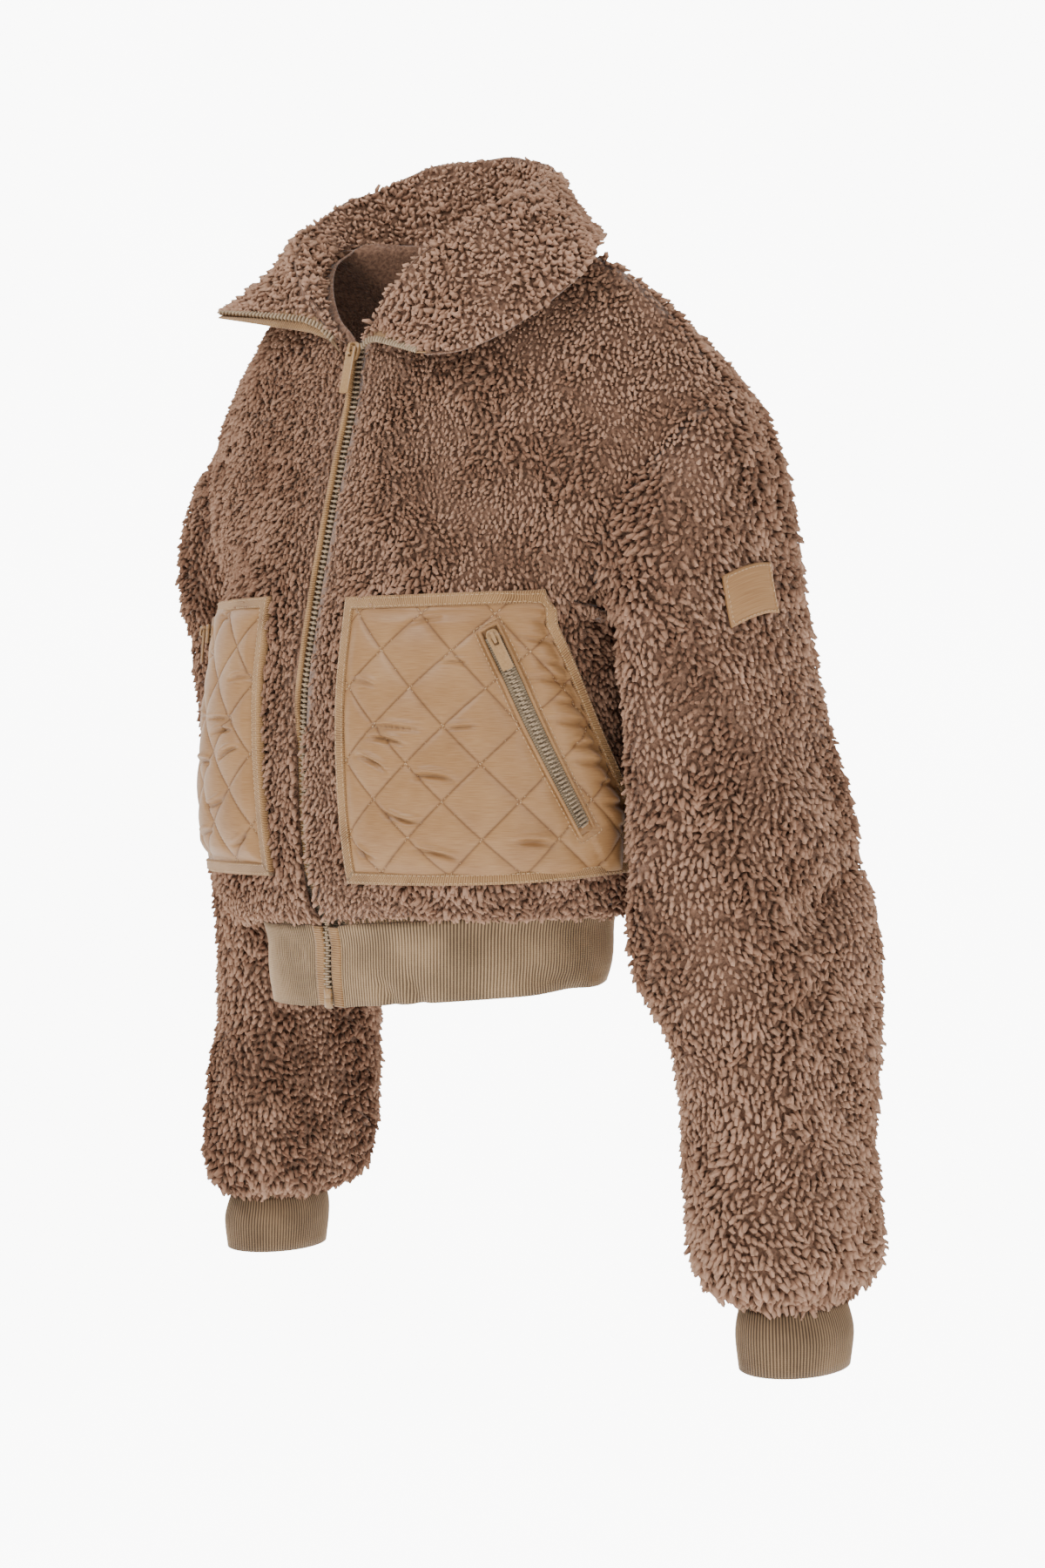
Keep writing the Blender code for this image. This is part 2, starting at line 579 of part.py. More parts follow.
def lying_grid(front, rows, lift):
    """A grid of places on the front from rows of (distance, height)."""
    found = [[front.at(s, z, lift) for s, z in row] for row in rows]
    return (np.array([[f[0] for f in row] for row in found]),
            np.array([[f[1] for f in row] for row in found]))


def pocket_rows(front, rows, cols):
    """Rows of (distance, height) over the pocket panel."""
    return [[pocket_spot(front, u, v) for u in np.linspace(0, 1, cols + 1)]
            for v in np.linspace(0, 1, rows + 1)]


def pocket_rim(front, inset, across=9, down=8):
    """The pocket's outline drawn in by the inset, as one closed line of (distance, height)."""
    u, v = np.linspace(0, 1, across + 1)[:-1], np.linspace(0, 1, down + 1)[:-1]
    loop = [(a, 0) for a in u] + [(1, b) for b in v]
    loop += [(1 - a, 1) for a in u] + [(0, 1 - b) for b in v]
    return [pocket_spot(front, a, b, inset) for a, b in loop]


def on_side(side, name, outer, inner, mat, closed=False):
    """A wall made as on the wearer's left, and mirrored if it belongs on the right."""
    if side == "right":
        outer, inner = mirrored(outer), mirrored(inner)
    shell(name + "_" + side, outer, inner, mat, closed)


def ribbon(name, line, normals, sides, low, high, mat):
    """A flat strip along a line, between two side offsets and two heights over the line."""
    base = np.stack([line + sides[0], line + sides[1]], axis=1)
    n = np.repeat(normals[:, None], 2, axis=1)
    return shell(name, base + n * high, base + n * low, mat)


def zip_line(panel, panel_n, hem):
    """The zip's line on the centre plane: up the hem band, then behind the fleece, and its normals."""
    flat = np.array([0, 1.0, 1.0])
    rows = slice(2, ROWS - NECK_ROWS + 1)
    behind = (panel - panel_n * (FLEECE_WALL + 0.16))[rows, 0] * flat
    low = hem[:, 0] * flat
    low[:, 1] += RIB_WALL + np.linspace(0.20, 0.54, len(low))
    line = np.vstack([low, behind])
    way = np.gradient(line, axis=0)
    out = np.stack([0 * way[:, 0], -way[:, 2], way[:, 1]], axis=1)
    return line, out / np.linalg.norm(out, axis=1, keepdims=True)


# ---- build ---------------------------------------------------------------------------------------
mats = {
    "fleece": material("pile_fleece", "#8C7060", 0.95),
    "rib": material("rib_knit", "#927D62", 0.90),
    "satin": material("quilted_nylon_satin", "#B0906C", 0.42),
    "twill": material("binding_twill_tape", "#A98A66", 0.75),
    "teeth": material("zip_teeth_plastic", "#A99B86", 0.45),
    "metal": material("zip_pull_painted_metal", "#A68A6A", 0.38),
}

# the panels, and the ways out of them, shared where they are sewn together
front = front_panel()
half = back_half()
back = np.hstack([half[:, ::-1], (half * OTHER_SIDE)[:, 1:]])
front_right = mirrored(front)
front_right[:ROWS - NECK_ROWS + 1, -1, 0] = -RIGHT_EDGE
sleeve = sleeve_grid()
front, front_right, back = lean(front), lean(front_right), lean(back)
front_n, right_n, back_n, sleeve_n, _ = sewn_normals(
    [front, front_right, back, sleeve, mirrored(sleeve)], [False, False, False, True, True])

wall("front_left", front, front_n, FLEECE_WALL, mats["fleece"])
wall("front_right", front_right, right_n, FLEECE_WALL, mats["fleece"])
wall("back", back, back_n, FLEECE_WALL, mats["fleece"])

# sleeves and cuffs
cuff = cuff_grid()
cuff_n = sewn_normals([cuff], [True])[0]
for side, turned in (("left", np.array), ("right", mirrored)):
    wall("sleeve_" + side, turned(sleeve), turned(sleeve_n), FLEECE_WALL, mats["fleece"],
         closed=True, first=SLEEVE_HEAD, cut=SLEEVE_CUT)
    wall("cuff_" + side, turned(cuff), turned(cuff_n), RIB_WALL, mats["rib"], closed=True)

# hem band
seam_line = np.vstack([front[0], back[0][1:], front_right[0][1:]])
hem = hem_grid(seam_line)[::-1]
wall("hem_band", hem, sewn_normals([hem], [False])[0], RIB_WALL, mats["rib"])

# collar
collar = collar_grid()[:, ::-1]
collar_n = sewn_normals([collar], [False])[0]
wall("collar", collar, collar_n, FLEECE_WALL, mats["fleece"])

# main zip: tapes behind the fleece, teeth between the front edges, down to the hem's lower edge
line, line_n = zip_line(front, front_n, hem)
for name, (near, far, low, high, first, stuff) in ZIP_STRIPS.items():
    ribbon(name, line[first:], line_n[first:], (ACROSS * near, ACROSS * far), low, high, mats[stuff])

# the hem band's finishing tapes, level with the band
band = hem[:, 0] * np.array([0, 1.0, 1.0])
band[-1, 2] -= 0.10
band_n = np.repeat(np.array([[0, -1.0, 0]]), len(band), axis=0)
for side, sign in (("left", 1), ("right", -1)):
    ends = sorted([0.32 * sign, (HEM_EDGE - SEAM_GAP) * sign])
    ribbon("hem_tape_" + side, band, band_n, (ACROSS * ends[0], ACROSS * ends[1]), -RIB_WALL, 0.0,
           mats["twill"])

# main slider at the foot of the open collar, its pull hanging over the teeth
down = (line[-3] - line[-1]) / np.linalg.norm(line[-3] - line[-1])
off = line_n[-1] - down * np.dot(line_n[-1], down)
off /= np.linalg.norm(off)
zip_pull("zip", line[-1] + line_n[-1] * SLIDER_LIFT + down * SLIDER_DOWN, down, off, MAIN_PULL)


# the zip's upper ends, along both front edges of the collar
def collar_end(side, column, inward, parts):
    """The zip's strips along one front edge of the collar, each beyond the edge and below its face."""
    edge, n = collar[1:, column], collar_n[1:, column]
    away = edge - collar[1:, inward]
    away /= np.linalg.norm(away, axis=1, keepdims=True)
    lift = np.repeat(n[:, None], 2, axis=1)
    for part in parts:
        near, far, low, high, stuff = COLLAR_STRIPS[part]
        pair = [edge + away * near, edge + away * far]
        base = np.stack(pair if column else pair[::-1], axis=1)
        shell(f"collar_zip_{side}_{part}", base + lift * high, base + lift * low, mats[stuff])


collar_end("left", -1, -2, ("tape", "teeth"))
collar_end("right", 0, 1, ("tape", "teeth", "guard"))

# patch pockets: quilted panel, binding tape all round, slanted welt zip
TAPE_LOW = LIE_GAP + POCKET_WALL + TAPE_GAP
CHAIN_LOW = TAPE_LOW + TAPE_WALL + SEAM_GAP
WELT_LENGTH = np.hypot(*WELT_RUN)
WELT_WAY = WELT_RUN / WELT_LENGTH
WELT_ACROSS = np.array([-WELT_WAY[1], WELT_WAY[0]])


def along_welt(half_width, count, start, stop):
    """Rows of (distance, height) along the slanted opening, lower end first."""
    return [[tuple(WELT_TOP + WELT_WAY * t + WELT_ACROSS * w) for w in (-half_width, half_width)]
            for t in np.linspace(stop, start, count)]


def pocket(side, place):
    """One pocket on a front, with its binding, welt, teeth, slider and pull."""
    panel, out = lying_grid(place, pocket_rows(place, 9, 10), LIE_GAP)
    on_side(side, "pocket", panel + out * POCKET_WALL, panel, mats["satin"])
    rims = [pocket_rim(place, inset) for inset in (-BINDING_OVER, BINDING)]
    rim, out = lying_grid(place, rims, TAPE_LOW)
    on_side(side, "pocket_binding", rim + out * TAPE_WALL, rim, mats["twill"], closed=True)
    welt, out = lying_grid(place, along_welt(WELT_WIDTH / 2, 8, 0.0, WELT_LENGTH), TAPE_LOW)
    on_side(side, "pocket_welt", welt + out * TAPE_WALL, welt, mats["satin"])
    half_width, start, end = POCKET_TEETH
    chain, out = lying_grid(place, along_welt(half_width, 8, start, WELT_LENGTH - end), CHAIN_LOW)
    on_side(side, "pocket_teeth", chain + out * 0.16, chain, mats["teeth"])
    at, up = place.at(*(WELT_TOP + WELT_WAY * POCKET_SLIDER_DOWN), CHAIN_LOW)
    way = place.at(*(WELT_TOP + WELT_WAY * 3.0), CHAIN_LOW)[0] - at
    way -= up * np.dot(way, up)
    way /= np.linalg.norm(way)
    if side == "right":
        at, up, way = at * OTHER_SIDE, up * OTHER_SIDE, way * OTHER_SIDE
    zip_pull("pocket_zip_" + side, at, way, up, POCKET_PULL)


pocket("left", Front(front, front_n, POCKET["left"]))
pocket("right", Front(mirrored(front_right), mirrored(right_n), POCKET["right"]))


# patch on the sleeve
def on_sleeve(r, c):
    """Place and outward way on the left sleeve between its grid points."""
    k, a = int(r), int(math.floor(c))
    t, u = r - k, c - a
    both = []
    for g in (sleeve, sleeve_n):
        near, far = g[:, a % SLEEVE_COLS], g[:, (a + 1) % SLEEVE_COLS]
        ring = near * (1 - u) + far * u
        both.append(ring[k] * (1 - t) + ring[k + 1] * t)
    return both[0], both[1] / np.linalg.norm(both[1])


cells = [[on_sleeve(PATCH_ROW + PATCH_ROWS * i, PATCH_COL + PATCH_COLS * j) for j in (-1, 0, 1)]
         for i in (-1, 0, 1)]
patch_n = np.array([[c[1] for c in row] for row in cells])
patch = np.array([[c[0] for c in row] for row in cells]) + patch_n * PATCH_GAP
shell("sleeve_patch", patch + patch_n * PATCH_WALL, patch, mats["twill"])
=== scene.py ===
# %% [markdown]
# # A cropped pile-fleece jacket
#
# The jacket hangs in its worn shape: two fronts and a back of curly pile fleece, full sleeves that are
# gathered into ribbed cuffs, a ribbed hem band, a tall collar that is opened and rolled out, a long
# front zip, and two quilted satin patch pockets with bound edges and a slanted zip each.
#
# This file builds the visible jacket around a packed construction model of the same pieces. Each cell
# makes one piece, from the largest to the smallest: cloth first, then its pile, then ribs, pockets,
# zips and stitches, and last the light and the camera.

# %% Load the construction model
import json
import math
import bmesh
import bpy
import numpy as np
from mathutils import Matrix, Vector

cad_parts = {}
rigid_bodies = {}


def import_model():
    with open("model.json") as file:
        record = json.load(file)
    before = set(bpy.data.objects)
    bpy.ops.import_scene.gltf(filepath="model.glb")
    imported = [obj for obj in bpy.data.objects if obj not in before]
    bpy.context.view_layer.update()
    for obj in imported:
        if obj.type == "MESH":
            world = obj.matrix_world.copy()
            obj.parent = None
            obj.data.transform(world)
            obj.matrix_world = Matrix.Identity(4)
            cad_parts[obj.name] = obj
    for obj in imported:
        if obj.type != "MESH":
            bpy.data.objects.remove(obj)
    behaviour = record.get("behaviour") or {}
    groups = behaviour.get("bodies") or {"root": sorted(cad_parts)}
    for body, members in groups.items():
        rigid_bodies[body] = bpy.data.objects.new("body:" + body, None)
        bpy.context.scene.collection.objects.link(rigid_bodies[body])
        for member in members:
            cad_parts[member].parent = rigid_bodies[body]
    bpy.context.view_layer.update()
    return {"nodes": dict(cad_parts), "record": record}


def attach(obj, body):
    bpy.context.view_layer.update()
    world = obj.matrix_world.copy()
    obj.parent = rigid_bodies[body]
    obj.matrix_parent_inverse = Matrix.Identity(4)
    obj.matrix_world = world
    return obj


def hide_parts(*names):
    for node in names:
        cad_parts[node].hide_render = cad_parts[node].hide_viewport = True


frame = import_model()

# %% [markdown]
# ## Sizes
#
# A pattern cutter works from a few lines: the front edge, the centre back, the side seam, the armhole,
# the neckline and the shoulder. Each is a short table of places along that line, in centimetres.
# X runs to the wearer's left, Y to the back and Z up, and the origin is the centre of the neck base.
# The same lines shape the construction model, so every piece made here lies where its solid lies.

# %% Sizes of the cloth
CM = 0.01
FLEECE_WALL = 0.60      # backing and the pile standing on it
RIB_WALL = 0.26         # doubled rib knit
SEAM_GAP = 0.06         # between sewn pieces

LOW_ROWS = 1.25         # crowding of the rows towards the hem, where the body turns under
ROWS = 16               # rows of a body panel, hem seam to shoulder
ARMHOLE_ROWS = 8        # of these, the rows that end at the armhole
NECK_ROWS = 4           # of these, the rows that end at the front neckline
FRONT_COLS = 9          # columns of a front, zip to side seam
NECK_COLS = 3           # columns of half the back neckline
SLEEVE_COLS = 2 * ARMHOLE_ROWS
COLLAR_COLS = 28

# %% Lines of the body
# Front edge of the body beside the zip, hem seam to neckline
FRONT_EDGE = [  # z, y
    (-47.4, -8.2), (-46.6, -9.2), (-43.0, -10.1), (-37.5, -10.5), (-32.4, -10.4),
    (-28.0, -9.7), (-23.3, -8.7), (-17.0, -7.1), (-12.6, -5.9), (-9.2, -5.3)]
ZIP_HALF = 0.35         # the left front ends this far from the centre line
RIGHT_EDGE = 0.62       # the right front, which leaves room for the guard's edge

# Centre back, hem seam to neckline
BACK_LINE = [  # z, y
    (-46.8, 11.9), (-47.3, 13.2), (-45.6, 14.6), (-41.0, 15.0), (-32.0, 14.6), (-22.0, 14.0),
    (-12.0, 12.8), (-5.0, 9.6), (-1.2, 7.0)]

# Side seam, hem seam to underarm
SIDE_SEAM = [  # z, x, y
    (-47.2, 13.4, 3.2), (-47.9, 15.0, 3.2), (-46.2, 16.4, 3.2), (-41.6, 17.0, 3.2), (-36.0, 16.9, 3.4),
    (-31.0, 16.8, 3.8), (-27.2, 17.3, 4.2)]

# Armhole: underarm to shoulder, front half and back half
ARMHOLE_FRONT = [  # x, y, z
    (17.3, 4.2, -27.6), (17.1, 1.2, -26.8), (17.4, -1.2, -25.0), (18.6, -1.9, -22.6),
    (19.9, -1.4, -20.0), (21.4, 0.0, -17.0), (22.8, 2.4, -14.2), (23.6, 5.2, -12.6)]
ARMHOLE_BACK = [
    (17.3, 4.2, -27.6), (17.4, 7.6, -26.6), (18.3, 10.6, -23.6), (20.1, 11.7, -19.6),
    (22.0, 10.9, -15.8), (23.2, 8.4, -13.2), (23.6, 5.2, -12.6)]

# Neckline and shoulder
NECK_FRONT = [  # x, y, z
    (0.35, -5.3, -9.2), (2.6, -4.9, -7.4), (5.2, -3.4, -4.6), (7.2, -0.9, -2.2), (7.8, 1.2, -1.4)]
NECK_BACK = [
    (7.8, 1.2, -1.4), (6.6, 4.4, -1.2), (3.6, 6.4, -1.2), (0.0, 7.0, -1.2)]
SHOULDER = [
    (7.8, 1.2, -1.4), (12.6, 2.0, -2.5), (17.4, 3.2, -5.1), (21.3, 4.6, -9.2), (23.6, 5.2, -12.6)]

# %% Sections of a sleeve and its folds
# Sleeve rings, armhole to cuff seam: overarm point, underarm point, middle and half of the depth,
# squareness, and how far the outside of the arm stands behind its inside
SLEEVE = [  # out_x, out_z, in_x, in_z, mid_y, half_y, power, skew
    (23.6, -12.6, 17.3, -27.6, 5.0, 7.0, 2.0, 0.0),
    (25.1, -15.4, 18.1, -29.5, 5.2, 7.2, 2.1, -0.5),
    (26.0, -19.4, 17.7, -30.6, 5.3, 7.4, 2.2, -0.8),
    (25.9, -25.0, 17.7, -33.4, 5.8, 7.5, 2.3, -0.3),
    (26.2, -31.6, 17.6, -36.8, 6.7, 7.5, 2.3, 0.8),
    (26.7, -38.4, 17.6, -41.0, 7.8, 7.4, 2.3, 2.0),
    (27.5, -44.6, 17.5, -45.4, 8.6, 7.6, 2.3, 2.9),
    (28.0, -49.4, 17.4, -49.4, 9.0, 7.8, 2.3, 2.8),
    (28.4, -54.2, 18.4, -54.2, 9.8, 7.2, 2.3, 1.2),
    (28.9, -60.0, 18.7, -60.0, 9.8, 7.1, 2.3, 0.2),
    (29.3, -65.4, 19.0, -65.4, 9.8, 7.0, 2.3, 0.0),
    (29.6, -69.0, 20.0, -69.0, 9.8, 6.6, 2.2, 0.0),
    (29.2, -70.9, 21.2, -70.9, 9.6, 5.4, 2.0, 0.0),
    (28.1, -70.8, 22.4, -70.8, 9.4, 4.0, 2.0, 0.0)]
SLEEVE_ROWS = 15

# Sleeve folds: height at the front and back, turn in degrees (0 outside, 90 front), reach, depth
SLEEVE_FOLDS = [  # z_front, z_outer, z_back, turn_from, turn_to, half_width, depth
    (-49.8, -44.6, -41.0, -70, 105, 1.7, -0.85),
    (-46.2, -41.2, -38.6, -40, 100, 1.9, 0.55),
    (-53.6, -51.0, -50.0, -60, 60, 1.6, -0.45),
    (-58.5, -57.0, -55.0, 20, 130, 1.5, -0.40),
    (-31.5, -27.5, -25.0, 20, 110, 2.2, -0.40),
    (-64.0, -62.5, -62.0, -120, 10, 1.6, -0.35)]

# %% Cuff and hem band
CUFF = [  # z, mid_x, mid_y, half_x, half_y
    (-70.755, 25.25, 9.4, 2.85, 4.00), (-71.6, 25.3, 9.4, 3.20, 4.20),
    (-72.8, 25.4, 9.35, 3.40, 4.30), (-74.8, 25.4, 9.35, 3.15, 4.10)]
HEM_BAND = [  # depth below the hem seam, share of the seam's outline, middle of the body in y
    (0.03, 1.000, 2.0), (1.4, 0.970, 2.0), (3.4, 0.965, 2.0), (5.4, 0.940, 2.0)]
HEM_EDGE = 1.30         # the band ends this far from the centre line, at its finishing tapes
HEM_LEAN = 0.085        # rise of the hem towards the wearer's left, per unit across
LEAN_TOP, LEAN_SPAN = -28.0, 18.0   # the lean starts at this height and is whole this far below

# %% The collar as it falls open
# The line of the roll and the free edge, zip end to centre back, worn open
COLLAR_ROWS = 8
ROLL_LEFT = [  # x, y, z
    (1.2, -6.1, -8.9), (4.4, -6.4, -4.8), (7.6, -4.8, -2.2), (9.6, 0.6, 1.2), (6.4, 6.4, 3.6),
    (0.0, 8.8, 5.0)]
EDGE_LEFT = [
    (8.8, -7.5, -9.9), (11.6, -6.6, -9.8), (13.8, -5.2, -8.7), (15.4, -3.2, -7.0),
    (16.2, -0.8, -5.0), (15.0, 2.2, -2.8), (11.6, 5.8, -1.8), (7.0, 9.6, -1.2), (0.0, 11.8, -0.8)]
ROLL_RIGHT = [
    (-1.8, -6.2, -8.4), (-5.0, -6.0, -4.8), (-7.4, -4.2, -1.8), (-9.3, 0.6, 1.4),
    (-7.2, 6.8, 4.6), (0.0, 8.8, 5.0)]
EDGE_RIGHT = [
    (-13.2, -6.1, -6.0), (-14.6, -4.6, -5.7), (-15.4, -2.8, -5.0), (-15.8, -0.6, -4.0),
    (-15.0, 2.4, -2.7), (-12.0, 6.2, -1.6), (-7.4, 10.0, -1.1), (0.0, 12.0, -0.8)]
OTHER_SIDE = np.array([-1.0, 1.0, 1.0])

# %% [markdown]
# ## From lines to panels
#
# A cloth panel is a grid of points: rows across it, columns along it. `smooth` draws a curve through
# the places of a table, and each panel is filled with rows that leave one of its edges and meet the
# other. Two panels that are sewn together share the points of their seam, and also the direction
# that faces out of the cloth there, so that nothing gapes or overlaps at the seam.

# %% Curves and rows
def unit(vectors):
    """The same directions with length 1."""
    return vectors / np.maximum(np.linalg.norm(vectors, axis=-1, keepdims=True), 1e-9)


def running(line):
    """Length along a line of points up to each of them."""
    return np.concatenate([[0], np.cumsum(np.linalg.norm(np.diff(line, axis=0), axis=1))])


def smooth(points, n, power=1.0):
    """n points along a smooth curve through the given ones, at even steps of length."""
    pts = np.array(points, float)
    if len(pts) > 2:
        ends = [2 * pts[0] - pts[1]], [2 * pts[-1] - pts[-2]]
        p = np.vstack([ends[0], pts, ends[1]])
        t = np.linspace(0, 1, 13)[:-1, None]
        runs = [0.5 * (2 * p[i] + (p[i + 1] - p[i - 1]) * t
                       + (2 * p[i - 1] - 5 * p[i] + 4 * p[i + 1] - p[i + 2]) * t ** 2
                       + (3 * p[i] - p[i - 1] - 3 * p[i + 1] + p[i + 2]) * t ** 3)
                for i in range(1, len(p) - 2)]
        pts = np.vstack(runs + [pts[-1:]])
    return resample(pts, n, power)


def resample(pts, n, power=1.0):
    """The same line with n points at even steps of its length."""
    run = running(pts)
    want = np.linspace(0, 1, n) ** power * run[-1]
    return np.stack([np.interp(want, run, pts[:, k]) for k in range(pts.shape[1])], axis=1)


def quarter(start, end, power, n):
    """A row round a quarter of the body: it leaves the start along X and meets the end along Y."""
    angle = np.linspace(0, math.pi / 2, 60)
    across = np.sin(angle) ** (2 / power)
    along = 1 - np.cos(angle) ** (2 / power)
    rise = across ** 1.5
    shape = np.stack([start[0] + (end[0] - start[0]) * across,
                      start[1] + (end[1] - start[1]) * along,
                      start[2] + (end[2] - start[2]) * rise], axis=1)
    return resample(shape, n)


def mirrored(grid):
    """The grid on the other side of the body, its columns still running the same way round."""
    return (grid * OTHER_SIDE)[:, ::-1]

# %% Ways out of the cloth
def sewn_normals(grids, closed):
    """Normals of several grids sewn together: points at one place share theirs."""
    sums, out = {}, []
    for grid, ring in zip(grids, closed):
        if ring:
            du = np.roll(grid, -1, 1) - np.roll(grid, 1, 1)
        else:
            du = np.gradient(grid, axis=1)
        n = unit(np.cross(du, np.gradient(grid, axis=0)))
        for point, normal in zip(grid.reshape(-1, 3), n.reshape(-1, 3)):
            key = tuple(np.round(point, 3))
            sums[key] = sums.get(key, 0) + normal
    for grid in grids:
        all_n = np.array([sums[tuple(np.round(p, 3))] for p in grid.reshape(-1, 3)])
        out.append(unit(all_n).reshape(grid.shape))
    return out

# %% Body panels
def side_line():
    """Side seam and armhole of the left side, one line for the fronts and one for the back."""
    seam_rows = ROWS - ARMHOLE_ROWS + 1
    seam = smooth([(x, y, z) for z, x, y in SIDE_SEAM], seam_rows, LOW_ROWS)
    front = smooth(ARMHOLE_FRONT, ARMHOLE_ROWS + 1)
    back = smooth(ARMHOLE_BACK, ARMHOLE_ROWS + 1)
    return np.vstack([seam, front[1:]]), np.vstack([seam, back[1:]])


def front_panel():
    """Left front: columns from the zip to the side seam, rows from the hem seam to the shoulder."""
    edge_rows = ROWS - NECK_ROWS + 1
    edge = smooth([(ZIP_HALF, y, z) for z, y in FRONT_EDGE], edge_rows, LOW_ROWS)
    inner = np.vstack([edge, smooth(NECK_FRONT, NECK_ROWS + 1)[1:]])
    outer = side_line()[0]
    share = np.linspace(0, 1, ROWS + 1)
    powers = np.interp(share, [0, 0.2, 0.5, 0.75, 0.92, 1.0], [2.2, 2.7, 2.6, 1.9, 1.35, 1.1])
    rows = [quarter(inner[j], outer[j], powers[j], FRONT_COLS + 1) for j in range(ROWS + 1)]
    rows[-1] = smooth(SHOULDER, FRONT_COLS + 1)
    return np.array(rows)


def back_half():
    """Left half of the back: columns from the centre line to the side seam."""
    cols = NECK_COLS + FRONT_COLS
    centre = smooth([(0, y, z) for z, y in BACK_LINE], ROWS + 1, LOW_ROWS)
    outer = side_line()[1]
    share = np.linspace(0, 1, ROWS + 1)
    powers = np.interp(share, [0, 0.2, 0.5, 0.8, 1.0], [2.1, 2.3, 2.2, 1.35, 1.2])
    rows = [quarter(centre[j], outer[j], powers[j], cols + 1) for j in range(ROWS + 1)]
    neck = smooth(NECK_BACK[::-1], NECK_COLS + 1)
    top = np.vstack([neck, smooth(SHOULDER, FRONT_COLS + 1)[1:]])
    grid = np.array(rows)
    miss = top - grid[-1]
    for j, t in enumerate(np.clip((share - 0.3) / 0.7, 0, 1)):
        grid[j] += softened(miss, 5.0 * (1 - t)) * t ** 1.8
    return grid


def softened(line, width):
    """A line of moves blurred along itself: even about its start, held still at its end."""
    if width < 0.2:
        return line
    n = len(line)
    mirror = np.vstack([line[:0:-1] * OTHER_SIDE, line, -line[-2::-1]])
    where = np.arange(len(mirror)) - (n - 1)
    weight = np.exp(-0.5 * ((np.arange(n)[:, None] - where[None]) / width) ** 2)
    return (weight / weight.sum(axis=1, keepdims=True)) @ mirror

# %% Sleeves
def armhole_ring():
    """The left armhole as a closed ring: shoulder point, down the front, up the back."""
    front, back = side_line()
    down = front[::-1][:ARMHOLE_ROWS + 1]
    up = back[-ARMHOLE_ROWS - 1:][1:-1]
    return np.vstack([down, up])


def sleeve_ring(row):
    """One ring of the sleeve in its tilted plane, starting over the arm and running to the front."""
    out_x, out_z, in_x, in_z, mid_y, half_y, power, skew = row
    turn = np.linspace(0, 2 * math.pi, SLEEVE_COLS, endpoint=False)
    c, s = np.cos(turn), np.sin(turn)
    across = np.sign(c) * np.abs(c) ** (2 / power)
    deep = np.sign(s) * np.abs(s) ** (2 / power)
    mid_x, mid_z = (out_x + in_x) / 2, (out_z + in_z) / 2
    return np.stack([mid_x + (out_x - in_x) / 2 * across,
                     mid_y - half_y * deep + skew * across,
                     mid_z + (out_z - in_z) / 2 * across], axis=1)


def sleeve_grid():
    """Left sleeve, rings from the armhole to the cuff; the first ring is the armhole itself."""
    rings = np.array([sleeve_ring(row) for row in SLEEVE])
    hole = armhole_ring()
    miss = hole - rings[0]
    for k, keep in enumerate([1.0, 0.55, 0.25, 0.08]):
        rings[k] = rings[k] + miss * keep
    lines = [smooth(rings[:, k], SLEEVE_ROWS + 1) for k in range(SLEEVE_COLS)]
    grid = np.stack(lines, axis=1)
    grid[0] = hole
    return grid + sleeve_folds(grid)


def sleeve_folds(grid):
    """The sleeve's largest folds as soft troughs and ridges across it."""
    out = unit(grid - grid.mean(axis=1, keepdims=True))
    turn = np.degrees(np.arctan2(-out[..., 1], out[..., 0]))
    push = np.zeros(turn.shape)
    for z_front, z_outer, z_back, a, b, half, depth in SLEEVE_FOLDS:
        level = np.interp(turn, [-90, 0, 90], [z_back, z_outer, z_front])
        reach = np.clip(np.minimum(turn - a, b - turn) / 35.0, 0, 1)
        push += depth * np.exp(-((grid[..., 2] - level) / half) ** 2) * reach ** 2 * (3 - 2 * reach)
    return out * push[..., None]

# %% Collar
def neckline():
    """The collar seam from the wearer's left zip edge round the back to the right zip edge."""
    half = np.vstack([smooth(NECK_FRONT, NECK_ROWS + 1), smooth(NECK_BACK, NECK_COLS + 1)[1:]])
    right = half[:-1][::-1] * OTHER_SIDE
    right[-1, 0] = -RIGHT_EDGE
    return np.vstack([half, right])


def round_neck(left, right):
    """One line of the collar from the left zip edge round the back to the right one."""
    n = COLLAR_COLS // 2 + 1
    return np.vstack([smooth(left, n), smooth(right, n)[:-1][::-1]])


def collar_grid():
    """Collar, seam row to free edge; columns run from the left zip edge to the right one."""
    line = neckline()
    share = np.linspace(0, len(line) - 1, COLLAR_COLS + 1)
    seam = np.stack([np.interp(share, np.arange(len(line)), line[:, k]) for k in range(3)], axis=1)
    ends = np.abs(np.linspace(-1, 1, len(seam)))[:, None]
    seam += np.array([0, 0, 2.2 * SEAM_GAP])
    seam += np.array([0, -0.50, 0.35]) * np.clip((ends - 0.3) / 0.7, 0, 1)
    roll = round_neck(ROLL_LEFT, ROLL_RIGHT)
    edge = round_neck(EDGE_LEFT, EDGE_RIGHT)
    lines = []
    for s, r, e in zip(seam, roll, edge):
        fall = np.linalg.norm(e - r)
        over = r + (e - r) * 0.22 + np.array([0, 0, 0.085 * fall])
        down = r + (e - r) * 0.60 + np.array([0, 0, 0.055 * fall])
        lines.append(smooth([s, s + (r - s) * 0.6, r, over, down, e], COLLAR_ROWS + 1))
    return np.stack(lines, axis=1)

# %% Cuffs and hem band
def cuff_grid():
    """Left cuff, its rings meeting the sleeve's gathered end."""
    turn = np.linspace(0, 2 * math.pi, SLEEVE_COLS, endpoint=False)
    return np.array([np.stack([mx + a * np.cos(turn), my - b * np.sin(turn), z + 0 * turn], axis=1)
                     for z, mx, my, a, b in CUFF])


